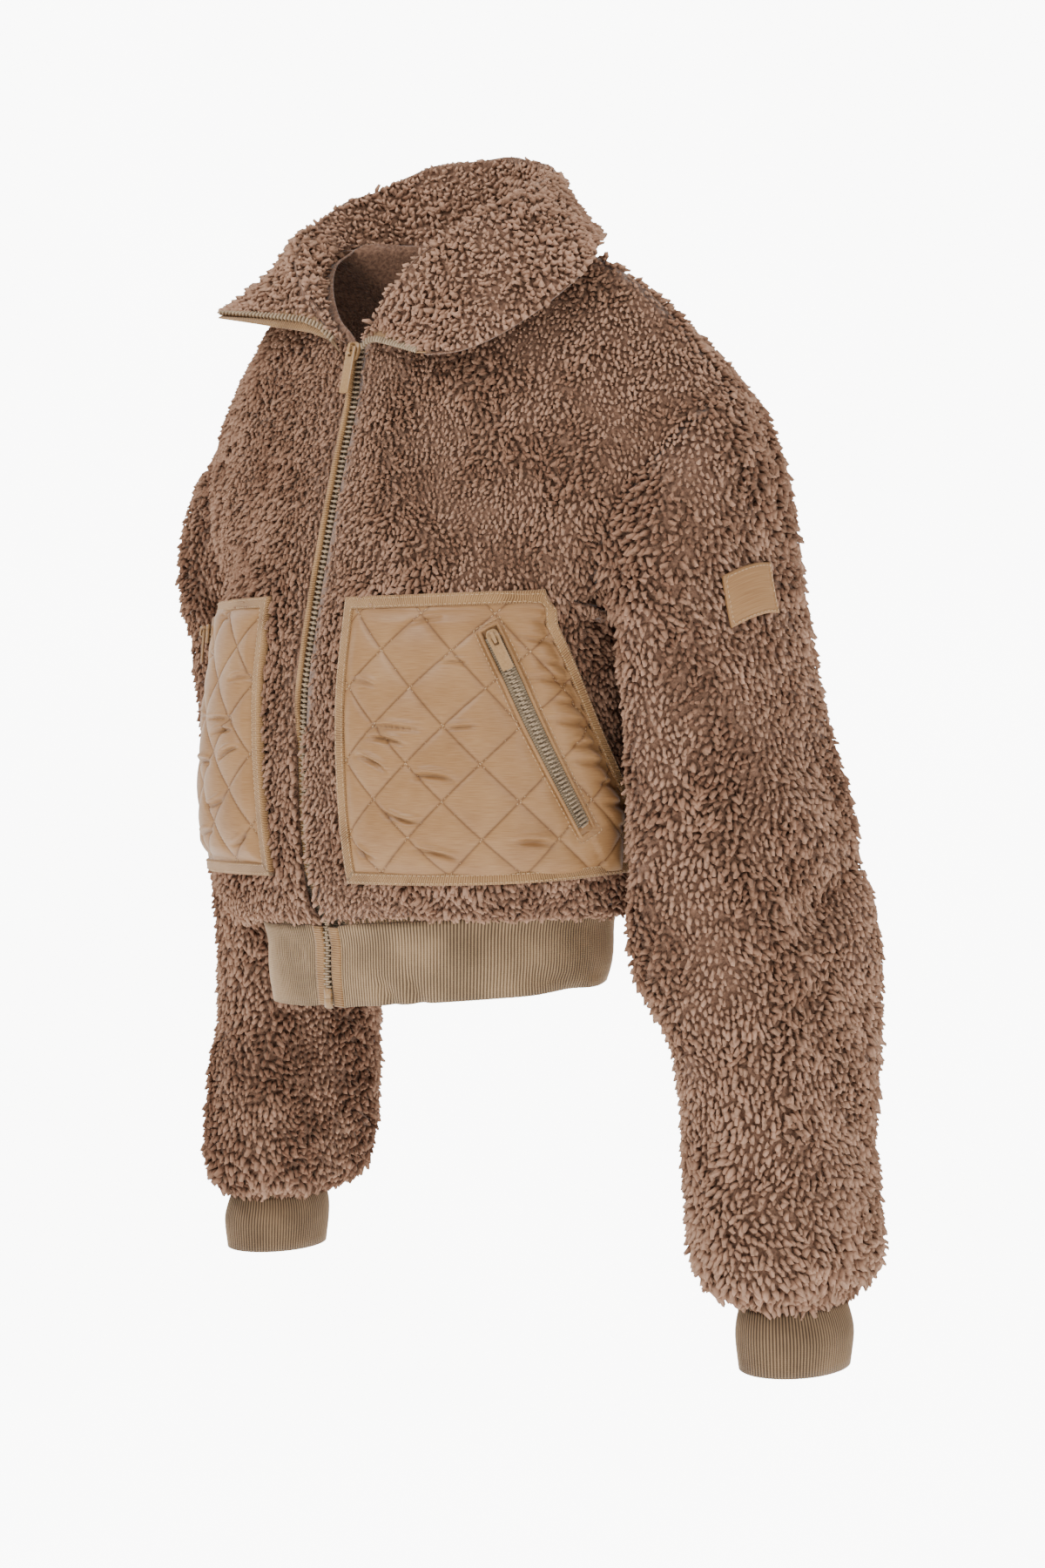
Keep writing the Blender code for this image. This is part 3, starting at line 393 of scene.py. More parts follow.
def hem_grid(seam):
    """Hem band below the body's lower edge, from the left zip edge round the back to the right."""
    rows = []
    for depth, share, mid_y in HEM_BAND:
        middle = np.array([0, mid_y, 0])
        row = middle + (seam - middle) * np.array([share, share, 1.0])
        row[:, 2] -= depth
        row[0, 0], row[-1, 0] = HEM_EDGE, -HEM_EDGE
        rows.append(row)
    return np.array(rows)


def lean(grid):
    """The body's lower part rises a little towards the wearer's left, as it hangs."""
    g = grid.copy()
    t = np.clip((LEAN_TOP - g[..., 2]) / LEAN_SPAN, 0, 1)
    g[..., 2] += HEM_LEAN * g[..., 0] * t * t * (3 - 2 * t)
    return g

# %% [markdown]
# ## Finer cloth
#
# The tables give a grid with a point every few centimetres. `finer` puts a smooth curve through the
# points of every row and column and reads it closer together, so that folds, ribs and stitches
# have points to move.

# %% Finer grids
def finer_along(grid, n, axis, closed=False):
    """n points for each one, on a smooth curve through the points along one axis."""
    g = np.moveaxis(grid, axis, 0)
    if closed:
        p = np.concatenate([g[-1:], g, g[:2]])
    else:
        p = np.concatenate([2 * g[:1] - g[1:2], g, 2 * g[-1:] - g[-2:-1]])
    t = (np.arange(n) / n).reshape(1, n, *[1] * (g.ndim - 1))
    a, b, c, d = [q[:, None] for q in (p[:-3], p[1:-2], p[2:-1], p[3:])]
    curve = 0.5 * (2 * b + (c - a) * t + (2 * a - 5 * b + 4 * c - d) * t ** 2
                   + (3 * b - a - 3 * c + d) * t ** 3)
    out = curve.reshape(-1, *g.shape[1:])
    if not closed:
        out = np.concatenate([out, g[-1:]])
    return np.moveaxis(out, 0, axis)


def finer(grid, rows, cols, closed=False):
    """The grid with more rows and columns."""
    return finer_along(finer_along(grid, rows, 0), cols, 1, closed)


FINE = 4                # fine rows and columns for each coarse one
SLEEVE_FINE = 6
front = lean(front_panel())
half = back_half()
back = lean(np.hstack([half[:, ::-1], (half * OTHER_SIDE)[:, 1:]]))
right_front = mirrored(front_panel())
right_front[:ROWS - NECK_ROWS + 1, -1, 0] = -RIGHT_EDGE
right_front = lean(right_front)
sleeve = sleeve_grid()
COARSE = {"front_left": front, "front_right": right_front, "back": back, "sleeve_left": sleeve,
          "sleeve_right": mirrored(sleeve)}
CLOSED = {name: name.startswith("sleeve") for name in COARSE}
print("coarse panels:", {name: grid.shape[:2] for name, grid in COARSE.items()})

# %% [markdown]
# ## Folds
#
# Cloth that hangs on a body folds where it has more length than room: at the elbow, where the sleeve
# is gathered, under the arm and at the waist. Each fold is a soft trough or ridge, given one by one. Its
# row in the table gives where it starts and ends on the panel, how far it bows, its half width and
# its depth. Real folds fade at their ends and no two are alike, so the numbers are uneven.

# %% Charts and folds
def chart(grid, closed):
    """Places on a panel in centimetres: along the row from its first column, and height."""
    run = np.array([running(row) for row in grid])
    if closed:
        round_ = run[:, -1:] + np.linalg.norm(grid[:, :1] - grid[:, -1:], axis=2)
        run = np.where(run > round_ / 2, run - round_, run)
    return np.stack([run, grid[..., 2]], axis=2)


def fold_push(places, folds):
    """How far each place moves out of the cloth: the sum of the folds that pass near it."""
    push = np.zeros(places.shape[:-1])
    t = np.linspace(0, 1, 17)
    for s0, z0, s1, z1, bow, half_width, depth in folds:
        a, b = np.array([s0, z0]), np.array([s1, z1])
        over = np.array([z0 - z1, s1 - s0]) / max(np.hypot(s1 - s0, z1 - z0), 1e-6)
        path = a + (b - a) * t[:, None] + over * bow * (4 * t * (1 - t))[:, None]
        away = np.linalg.norm(places[..., None, :] - path, axis=-1)
        near = away.argmin(axis=-1)
        fade = np.sin(np.pi * np.clip(t[near], 0.02, 0.98)) ** 0.7
        push += depth * np.exp(-(away.min(axis=-1) / half_width) ** 2) * fade
    return push


FOLDS = {  # start (along, height), end (along, height), bow, half width, depth
    "front_left": [
        (3.0, -22.0, 13.0, -25.2, -0.8, 0.9, -0.16), (14.5, -23.0, 19.5, -27.5, 0.6, 1.0, -0.20),
        (1.5, -45.2, 8.5, -46.6, 0.2, 0.7, -0.14), (8.0, -13.0, 15.5, -18.5, 0.9, 1.3, 0.16),
        (2.0, -16.0, 9.0, -19.0, -0.6, 1.0, 0.12)],
    "front_right": [
        (4.0, -22.5, 12.0, -25.0, -0.7, 0.9, -0.18), (9.0, -14.0, 2.5, -22.0, 1.6, 1.1, 0.30),
        (6.0, -16.5, 1.0, -24.0, 1.2, 0.8, -0.22), (14.0, -45.0, 20.0, -46.4, 0.3, 0.8, -0.16)],
    "back": [
        (10.0, -24.0, 22.0, -32.0, 1.8, 1.5, -0.34), (36.0, -25.0, 25.0, -33.5, -1.6, 1.3, -0.30),
        (6.0, -38.0, 19.0, -43.5, 1.2, 1.2, 0.30), (27.0, -41.0, 41.0, -37.0, 1.4, 1.4, -0.30),
        (12.0, -43.5, 30.0, -45.0, -0.9, 1.1, -0.26), (20.0, -8.0, 29.0, -8.6, -0.8, 1.2, 0.16),
        (5.0, -19.0, 12.0, -27.0, -1.0, 1.1, 0.24), (42.0, -19.5, 36.0, -28.0, 1.1, 1.2, 0.24)],
    "sleeve_left": [
        (-9.0, -41.5, 9.0, -51.0, 1.2, 0.85, -0.90), (-8.0, -39.4, 9.6, -48.8, 1.2, 1.0, 0.42),
        (-4.0, -47.0, 10.0, -56.5, 0.8, 0.8, -0.44),
        (2.0, -40.0, 14.0, -45.5, -0.8, 1.1, 0.34), (-12.0, -58.0, 2.0, -61.0, -1.0, 1.0, -0.30),
        (5.0, -31.0, 15.0, -29.5, 1.0, 1.2, -0.30), (-16.0, -37.0, -5.0, -44.0, -1.2, 1.2, -0.36),
        (4.0, -62.0, 15.0, -64.5, 0.7, 0.9, -0.28), (-17.0, -50.0, -7.0, -55.0, 1.0, 1.0, 0.30),
        (-15.0, -27.0, -7.0, -33.0, 1.1, 1.3, -0.26)],
}
FOLDS["sleeve_right"] = [
    (-s0, z0 + 1.1, -s1, z1 - 0.8, -bow, half_width * 1.1, depth * 0.9)
    for s0, z0, s1, z1, bow, half_width, depth in FOLDS["sleeve_left"]]

PANELS, WAYS = {}, {}
fine_grids = [finer(g, FINE, SLEEVE_FINE if CLOSED[n] else FINE, CLOSED[n]) for n, g in COARSE.items()]
fine_ways = sewn_normals(fine_grids, list(CLOSED.values()))
for name, grid, way in zip(COARSE, fine_grids, fine_ways):
    places = chart(grid, CLOSED[name])
    seam = np.linspace(0, 1, len(grid))[:, None]
    ease = np.clip(np.minimum(seam, 1 - seam) / 0.06, 0, 1)
    if not CLOSED[name]:
        cross = np.linspace(0, 1, grid.shape[1])[None]
        ease = ease * np.clip(np.minimum(cross, 1 - cross) / 0.08, 0, 1)
    PANELS[name] = grid + way * (fold_push(places, FOLDS[name]) * ease)[..., None]
    WAYS[name] = way
    print(name, "fine grid", grid.shape[:2])

# %% [markdown]
# ## Making a mesh from a grid
#
# `sheet_mesh` turns one grid into a single layer of faces. `wall_mesh` makes cloth with a real
# thickness: an outer layer, an inner layer that is its copy moved inwards, and a rim that closes
# the edges, so the piece is one closed body with its faces pointing out.

# %% Meshes from grids
def new_object(name, data):
    """An object for a mesh, a light or a camera, put into the scene."""
    made = bpy.data.objects.new(name, data)
    bpy.context.scene.collection.objects.link(made)
    return made


def add_piece(name, verts, faces):
    """A smoothly shaded mesh object at the origin from points in centimetres."""
    mesh = bpy.data.meshes.new(name)
    mesh.from_pydata((np.asarray(verts) * CM).tolist(), [], faces)
    mesh.polygons.foreach_set("use_smooth", [True] * len(mesh.polygons))
    mesh.update()
    return new_object(name, mesh)


def grid_faces(rows, cols, closed, start=0, flip=False):
    """Four-sided faces over a grid whose points are numbered row by row."""
    i, j = np.meshgrid(np.arange(rows - 1), np.arange(cols if closed else cols - 1), indexing="ij")
    a = start + i * cols + j
    b = start + i * cols + (j + 1) % cols
    quads = np.stack([a, b, b + cols, a + cols], axis=-1).reshape(-1, 4)
    return (quads[:, ::-1] if flip else quads).tolist()


def sheet_mesh(name, grid, closed=False):
    """One layer of cloth."""
    rows, cols = grid.shape[:2]
    return add_piece(name, grid.reshape(-1, 3), grid_faces(rows, cols, closed))


def wall_mesh(name, outer, inner, closed=False):
    """Cloth with a thickness, closed all round its edges."""
    rows, cols = outer.shape[:2]
    count = rows * cols
    faces = grid_faces(rows, cols, closed) + grid_faces(rows, cols, closed, count, True)
    last = (rows - 1) * cols
    for j in range(cols if closed else cols - 1):
        k = (j + 1) % cols
        faces.append((k, j, j + count, k + count))
        faces.append((last + j, last + k, last + k + count, last + j + count))
    if not closed:
        for i in range(rows - 1):
            a, d = i * cols, (i + 1) * cols
            faces.append((a, d, d + count, a + count))
            faces.append((d + cols - 1, a + cols - 1, a + cols - 1 + count, d + cols - 1 + count))
    return add_piece(name, np.vstack([outer.reshape(-1, 3), inner.reshape(-1, 3)]), faces)


def triangles(piece):
    """How many triangles a piece comes to."""
    return sum(len(face.vertices) - 2 for face in piece.data.polygons)


# %% [markdown]
# ## Materials
#
# Every finish is built from nodes: what the fibre is, how it was made, and what that gives the eye.
# `node` adds one node with its settings and its links, and `dress` links a finished pattern to the
# shader as its colour and its relief. `hex_colour` turns the sRGB colour that one would pick from a
# swatch card into the linear colour that the shader works in.

# %% Node helpers
def hex_colour(code):
    """Linear RGBA from an sRGB hex colour."""
    parts = [int(code[k:k + 2], 16) / 255 for k in (1, 3, 5)]
    return [c / 12.92 if c <= 0.04045 else ((c + 0.055) / 1.055) ** 2.4 for c in parts] + [1.0]


def node(tree, kind, settings=None, links=None, stops=(), **props):
    """Adds a node: its properties, input values and links in, and a ramp's places and hex colours."""
    made = tree.nodes.new(kind)
    if stops:
        elements = made.color_ramp.elements
        while len(elements) < len(stops):
            elements.new(0.5)
        for element, (place, code) in zip(elements, stops):
            element.position = place
            element.color = hex_colour(code)
    for key, value in props.items():
        setattr(made, key, value)
    for key, value in (settings or {}).items():
        made.inputs[key].default_value = value
    for key, socket in (links or {}).items():
        tree.links.new(socket, made.inputs[key])
    return made


def dress(tree, shader, colour, height=None, strength=0.0, distance=0.0, over=None):
    """Links a material's colour, and its relief as a bump, which may lie over a larger one."""
    tree.links.new(colour, shader.inputs["Base Color"])
    if height:
        links = {"Height": height, "Normal": over} if over else {"Height": height}
        bump = node(tree, "ShaderNodeBump", {"Strength": strength, "Distance": distance}, links)
        tree.links.new(bump.outputs["Normal"], shader.inputs["Normal"])


def new_material(name, **values):
    """A material with its Principled shader's constant values set on the shader itself."""
    mat = bpy.data.materials.new(name)
    mat.use_nodes = True
    shader = mat.node_tree.nodes["Principled BSDF"]
    for key, value in values.items():
        shader.inputs[key.replace("_", " ")].default_value = value
    return mat, mat.node_tree, shader


# %% [markdown]
# ### Curly pile
#
# Pile fleece is polyester fibre knitted into a backing and tumbled until it curls into small locks.
# Light catches the ends of the locks and is lost between them, so a lock is painted pale at its tip and
# dark
# at its root: a painted highlight and a painted shade. Each lock carries two numbers in its mesh: `tip`,
# from
# 0 at the root to 1 at the end, and `tone`, a random tone of its own plus its panel's value, which
# lifts or deepens that painted shade. Large, slow noise adds the brushed and matted regions, and fine
# noise the fibres. The shader is fully rough, with sheen for the fuzz.

# %% Pile materials
def pile_material():
    """Curled polyester pile, dull, dark between its locks."""
    mat, tree, shader = new_material("curly_polyester_pile", Roughness=0.92, Sheen_Weight=0.35,
                                     Sheen_Roughness=0.45, Specular_IOR_Level=0.22)
    shader.inputs["Sheen Tint"].default_value = hex_colour("#D8B89C")
    tip = node(tree, "ShaderNodeAttribute", attribute_name="tip").outputs["Fac"]
    # The lock's own random tone plus its panel's painted shade; it lifts the painted shade at the root.
    tone = node(tree, "ShaderNodeAttribute", attribute_name="tone").outputs["Fac"]
    place = node(tree, "ShaderNodeTexCoord").outputs["Object"]
    lift = node(tree, "ShaderNodeMath", {1: 0.45}, {0: tone}, operation="MULTIPLY")
    lifted = node(tree, "ShaderNodeMapRange", {"From Min": 0.0, "From Max": 1.0, "To Max": 1.0},
                  {"Value": tip, "To Min": lift.outputs[0]})
    body = node(tree, "ShaderNodeValToRGB", links={"Fac": lifted.outputs["Result"]}, stops=[
        (0.0, "#4E362C"), (0.30, "#7B5B47"), (0.62, "#A37E67"), (1.0, "#C0987F")]).outputs["Color"]
    slow = node(tree, "ShaderNodeTexNoise", {"Scale": 22.0, "Detail": 2.0}, {"Vector": place})
    both = node(tree, "ShaderNodeMath", {1: 0.5}, {0: slow.outputs["Fac"], 2: tone},
                operation="MULTIPLY_ADD")
    shade = node(tree, "ShaderNodeValToRGB", links={"Fac": both.outputs[0]}, stops=[
        (0.15, "#C2B4AC"), (0.60, "#EDE8E4"), (1.0, "#FFFFFF")]).outputs["Color"]
    mixed = node(tree, "ShaderNodeMix", {"Factor": 1.0}, {"A": body, "B": shade},
                 data_type="RGBA", blend_type="MULTIPLY")
    fibre = node(tree, "ShaderNodeTexNoise", {"Scale": 1400.0, "Detail": 2.0, "Roughness": 0.7},
                 {"Vector": place})
    dress(tree, shader, mixed.outputs["Result"], fibre.outputs["Fac"], 0.55, 0.0012)
    return mat


def backing_material():
    """The knitted backing under the pile, with the matted fibre on it: soft and grainy, and dark, partly
    its own colour and partly painted shade for the gaps between the locks, where it shows.
    """
    mat, tree, shader = new_material("matted_pile_backing", Roughness=0.95, Sheen_Weight=0.25,
                                     Specular_IOR_Level=0.15)
    place = node(tree, "ShaderNodeTexCoord").outputs["Object"]
    grain = node(tree, "ShaderNodeTexNoise", {"Scale": 420.0, "Detail": 3.0}, {"Vector": place})
    colour = node(tree, "ShaderNodeValToRGB", links={"Fac": grain.outputs["Fac"]}, stops=[
        (0.3, "#664B3B"), (0.7, "#94715B")]).outputs["Color"]
    dress(tree, shader, colour, grain.outputs["Fac"], 0.8, 0.002)
    return mat


PILE = pile_material()
BACKING = backing_material()

# %% [markdown]
# ## Fleece panels
#
# The construction model's wall is as thick as the pile is deep. The cloth itself is thin: a backing
# that lies under the pile, at the inner side of that wall. Each panel becomes such a thin closed
# sheet, and its size on the cutting table is measured from its own grid.

# %% Fleece backings
PILE_DEPTH = 0.44       # from the tips of the pile down to the backing
BACKING_WALL = 0.14
SHEETS = {}             # name: piece, pieces that go with it, cut size and area


def cut_size(grid, closed):
    """Width and length of the flat piece, and its area, from the grid's own lengths."""
    across = np.linalg.norm(np.diff(grid, axis=1), axis=2).sum(axis=1)
    if closed:
        across = across + np.linalg.norm(grid[:, 0] - grid[:, -1], axis=1)
    down = np.linalg.norm(np.diff(grid, axis=0), axis=2).sum(axis=0)
    a = np.cross(grid[1:, :-1] - grid[:-1, :-1], grid[:-1, 1:] - grid[:-1, :-1])
    b = np.cross(grid[1:, 1:] - grid[:-1, 1:], grid[1:, 1:] - grid[1:, :-1])
    area = (np.linalg.norm(a, axis=2).sum() + np.linalg.norm(b, axis=2).sum()) / 2
    return across.max() * CM, down.max() * CM, area * CM * CM


def remember_sheet(name, piece, grid, closed=False, flat=None):
    width, length, area = cut_size(grid, closed)
    if flat:
        (width, length), area = flat, None
    SHEETS[name] = {"piece": piece, "with": [], "flat": (width, length), "area": area}
    covered = (area or width * length) * 1e4
    print(f"{name}: cut {width * 100:.1f} x {length * 100:.1f} cm, {covered:.0f} cm2")


def fleece_backing(name, grid, way, closed):
    """The thin cloth of one fleece panel."""
    outer = grid - way * PILE_DEPTH
    piece = wall_mesh(name + "_cloth", outer, outer - way * BACKING_WALL, closed)
    piece.data.materials.append(BACKING)
    remember_sheet(name, piece, grid, closed)


collar = collar_grid()[:, ::-1]
PANELS["collar"] = finer(collar, 5, 4)
WAYS["collar"] = sewn_normals([PANELS["collar"]], [False])[0]
CLOSED["collar"] = False
for name, grid in PANELS.items():
    fleece_backing(name, grid, WAYS[name], CLOSED[name])

# %% [markdown]
# ## The pile
#
# Tens of thousands of locks would be far too many to place by hand. Geometry Nodes scatter points over
# the backing with an even spacing, stand a small curled lock on each, turn it so that it leans the way
# the nap lies, and vary its size. Four shapes of lock are enough, because size, lean and shade differ on
# every one. What differs from region to region, such as smoother brushed pile or pile that is
# pressed at a seam, is kept in the panel's own points as four values: `keep`, `size`, `nap` and
# `tint`; the last also holds painted shade on the jacket's far side.

# %% Shapes of a lock
LOCK_SIDES = 3


def lock_shape(name, length, fat, curl, twist):
    """One lock of pile in 13 triangles: a fat curl growing up and bending over towards X."""
    rings = [(0.0, 0.75), (0.45, 1.0), (0.95, 0.58)]    # place along the lock, share of its width
    middle, bend, before, verts, tips = np.zeros(3), 0.0, 0.0, [], []
    for place, wide in rings:
        for _ in range(8):
            bend = curl * (before + (place - before) / 2)
            middle = middle + np.array([math.sin(bend), 0, math.cos(bend)]) * length * (place - before) / 8
        before, bend = place, curl * place
        for k in range(LOCK_SIDES):
            angle = 2 * math.pi * k / LOCK_SIDES + twist * (1 + place)
            side = np.array([math.cos(bend), 0, -math.sin(bend)]) * math.cos(angle)
            side = side + np.array([0, 1.0, 0]) * math.sin(angle)
            verts.append(middle + side * fat * wide)
            tips.append(place)
    faces = grid_faces(len(rings), LOCK_SIDES, True)
    last = (len(rings) - 1) * LOCK_SIDES
    faces.append(tuple(range(last, last + LOCK_SIDES)))
    lock = add_piece(name, verts, faces)
    tip = lock.data.attributes.new("tip", "FLOAT", "POINT")
    tip.data.foreach_set("value", tips)
    lock.data.materials.append(PILE)
    return lock


lock_box = bpy.data.collections.new("locks")
LOCKS = [  # length, half width, curl, twist
    (0.74, 0.23, 1.5, 0.6), (0.66, 0.25, 1.9, -0.8), (0.84, 0.21, 1.3, 1.1), (0.60, 0.26, 2.3, 0.3)]
for k, (length, fat, curl, twist) in enumerate(LOCKS):
    lock = lock_shape(f"lock_{k}", length, fat, curl, twist)
    bpy.context.scene.collection.objects.unlink(lock)
    lock_box.objects.link(lock)


# %% The node tree that grows the pile
def new_tree(name, **inputs):
    """A Geometry Nodes tree with named inputs, given as their kinds of socket, and one output."""
    tree = bpy.data.node_groups.new(name, "GeometryNodeTree")
    for label, kind in inputs.items():
        tree.interface.new_socket(label, in_out="INPUT", socket_type="NodeSocket" + kind)
    tree.interface.new_socket("Made", in_out="OUTPUT", socket_type="NodeSocketGeometry")
    return tree, tree.nodes.new("NodeGroupInput").outputs


def end_tree(tree, instances, finish):
    """Makes the copies real, gives them their material and hands them to the output."""
    real = node(tree, "GeometryNodeRealizeInstances", links={"Geometry": instances})
    done = node(tree, "GeometryNodeSetMaterial", links={"Geometry": real.outputs[0], "Material": finish})
    node(tree, "NodeGroupOutput", links={"Made": done.outputs[0]})
    return tree


def pile_tree():
    """Geometry Nodes: points over the cloth, a lock on each, leaning along the nap."""
    tree, given = new_tree("grow_pile", Cloth="Geometry", Spacing="Float", Ruffle="Float", Seed="Int",
                           Locks="Collection", Finish="Material")

    def named(attribute, kind):
        return node(tree, "GeometryNodeInputNamedAttribute", {"Name": attribute},
                    data_type=kind).outputs["Attribute"]

    area = node(tree, "ShaderNodeMath", links={0: given["Spacing"], 1: given["Spacing"]},
                operation="MULTIPLY").outputs[0]
    density = node(tree, "ShaderNodeMath", {0: 3.0}, {1: area}, operation="DIVIDE").outputs[0]
    dots = node(tree, "GeometryNodeDistributePointsOnFaces", {}, {
        "Mesh": given["Cloth"], "Distance Min": given["Spacing"], "Density Max": density,
        "Density Factor": named("keep", "FLOAT"), "Seed": given["Seed"]},
        distribute_method="POISSON")
    up = node(tree, "FunctionNodeAlignRotationToVector", links={"Vector": dots.outputs["Normal"]},
              axis="Z")
    stray = node(tree, "FunctionNodeRandomValue", {"Min": (-1, -1, -1), "Max": (1, 1, 1)},
                 {"Seed": given["Seed"]}, data_type="FLOAT_VECTOR").outputs["Value"]
    ruffled = node(tree, "ShaderNodeVectorMath", links={0: stray, "Scale": given["Ruffle"]},
                   operation="SCALE").outputs["Vector"]
    lie = node(tree, "ShaderNodeVectorMath", links={0: named("nap", "FLOAT_VECTOR"), 1: ruffled},
               operation="ADD").outputs["Vector"]
    turned = node(tree, "FunctionNodeAlignRotationToVector",
                  links={"Rotation": up.outputs["Rotation"], "Vector": lie}, axis="X", pivot_axis="Z")
    uneven = node(tree, "FunctionNodeRandomValue", {2: 0.78, 3: 1.18}, {"Seed": given["Seed"]},
                  data_type="FLOAT").outputs[1]
    size = node(tree, "ShaderNodeMath", links={0: named("size", "FLOAT"), 1: uneven},
                operation="MULTIPLY").outputs[0]
    shapes = node(tree, "GeometryNodeCollectionInfo", {"Separate Children": True, "Reset Children": True},
                  {"Collection": given["Locks"]})
    which = node(tree, "FunctionNodeRandomValue", {4: 0, 5: len(LOCKS) - 1}, {"Seed": given["Seed"]},
                 data_type="INT").outputs[2]
    grown = node(tree, "GeometryNodeInstanceOnPoints", {"Pick Instance": True}, {
        "Points": dots.outputs["Points"], "Instance": shapes.outputs[0], "Instance Index": which,
        "Rotation": turned.outputs["Rotation"], "Scale": size})
    # A random tone for each lock, plus its panel's value, which carries painted shade.
    chance = node(tree, "FunctionNodeRandomValue", {2: 0.05, 3: 0.45}, {"Seed": given["Seed"]},
                  data_type="FLOAT").outputs[1]
    shade = node(tree, "ShaderNodeMath", links={0: chance, 1: named("tint", "FLOAT")},
                 operation="ADD").outputs[0]
    toned = node(tree, "GeometryNodeStoreNamedAttribute", {"Name": "tone"},
                 {"Geometry": grown.outputs[0], "Value": shade}, data_type="FLOAT", domain="INSTANCE")
    return end_tree(tree, toned.outputs[0], given["Finish"])


def set_inputs(modifier, tree, **values):
    """Sets a modifier's inputs by the identifiers of their sockets."""
    for item in tree.interface.items_tree:
        if item.in_out == "INPUT" and item.name in values:
            modifier[item.identifier] = values[item.name]


def evaluated_mesh(name, piece):
    """The piece's evaluated shape as a plain mesh object of its own."""
    depsgraph = bpy.context.evaluated_depsgraph_get()
    mesh = bpy.data.meshes.new_from_object(piece.evaluated_get(depsgraph))
    mesh.name = name
    return new_object(name, mesh)


PILE_TREE = pile_tree()

# %% [markdown]
# ### Where the pile grows and how it lies
#
# Nothing grows under a pocket, under the sleeve's patch or in the slot of the zip. Towards the seams
# the locks are shorter, because the stitches pull them down. The nap runs down the garment. Slow waves
# through the cloth make bands of large curls beside bands that have been brushed flat.

# %% Wear and nap of each panel
def waves(points, seed, size):
    """Slow, smooth, seeded variation between 0 and 1 over points in space."""
    rng = np.random.default_rng(seed)
    total = np.zeros(points.shape[:-1])
    for _ in range(7):
        way = rng.normal(size=3)
        way /= np.linalg.norm(way) * size
        total += np.sin(points @ way * 2 * math.pi + rng.uniform(0, 2 * math.pi))
    return 0.5 + 0.5 * np.tanh(total / 2.2)


def falling(way):
    """The direction down the cloth at each point, from the way out of it."""
    return unit(np.array([0, 0, -1.0]) + way * way[..., 2:3])


def sideways(way):
    """The level direction across the cloth at each point."""
    return unit(np.cross(way, np.array([0, 0, 1.0])))


# %% Pockets in the front's own measures
POCKET_TOP, POCKET_BOTTOM = -26.0, -44.1
POCKET_SLANT = 0.61     # run outwards of the slanted edge for each unit down
CORNER_OUT, CORNER_SLANT = 0.85, 0.2    # the same close under the top, where the corner is fuller
FRONT_STEP = 0.25       # between the places that are worked out on a front
POCKET = {  # inner edge at the top and bottom, top corner of the slanted edge, rise outwards
    "left": (3.5, 4.3, 17.0, 0.035),
    "right": (4.5, 3.3, 17.4, -0.045)}
BINDING = 0.65          # visible width of the binding tape
WELT_TOP = np.array([14.2, -28.0])      # upper end of the slanted opening
WELT_RUN = np.array([6.9, -12.5])       # from there to its lower end
WELT_LENGTH, WELT_WIDTH = np.hypot(*WELT_RUN), 1.40
WELT_WAY = WELT_RUN / WELT_LENGTH
WELT_SIDE = np.array([-WELT_WAY[1], WELT_WAY[0]])
POCKET_MARGIN = 0.20    # from the side seam to the pocket


def slanted(corner, drop):
    """Distance of a slanted edge from the centre line, the drop below the pocket's top."""
    return corner + np.maximum(drop * POCKET_SLANT, CORNER_OUT + drop * CORNER_SLANT)


def blended(table, a, b):
    """A table of vectors read between its rows and columns, which come round again past its end."""
    i, j = np.floor(a).astype(int), np.floor(b).astype(int)
    u, v = (a - i)[..., None], (b - j)[..., None]
    cols = table.shape[1]
    return (table[i, j % cols] * (1 - u) * (1 - v) + table[i + 1, j % cols] * u * (1 - v)
            + table[i, (j + 1) % cols] * (1 - u) * v + table[i + 1, (j + 1) % cols] * u * v)


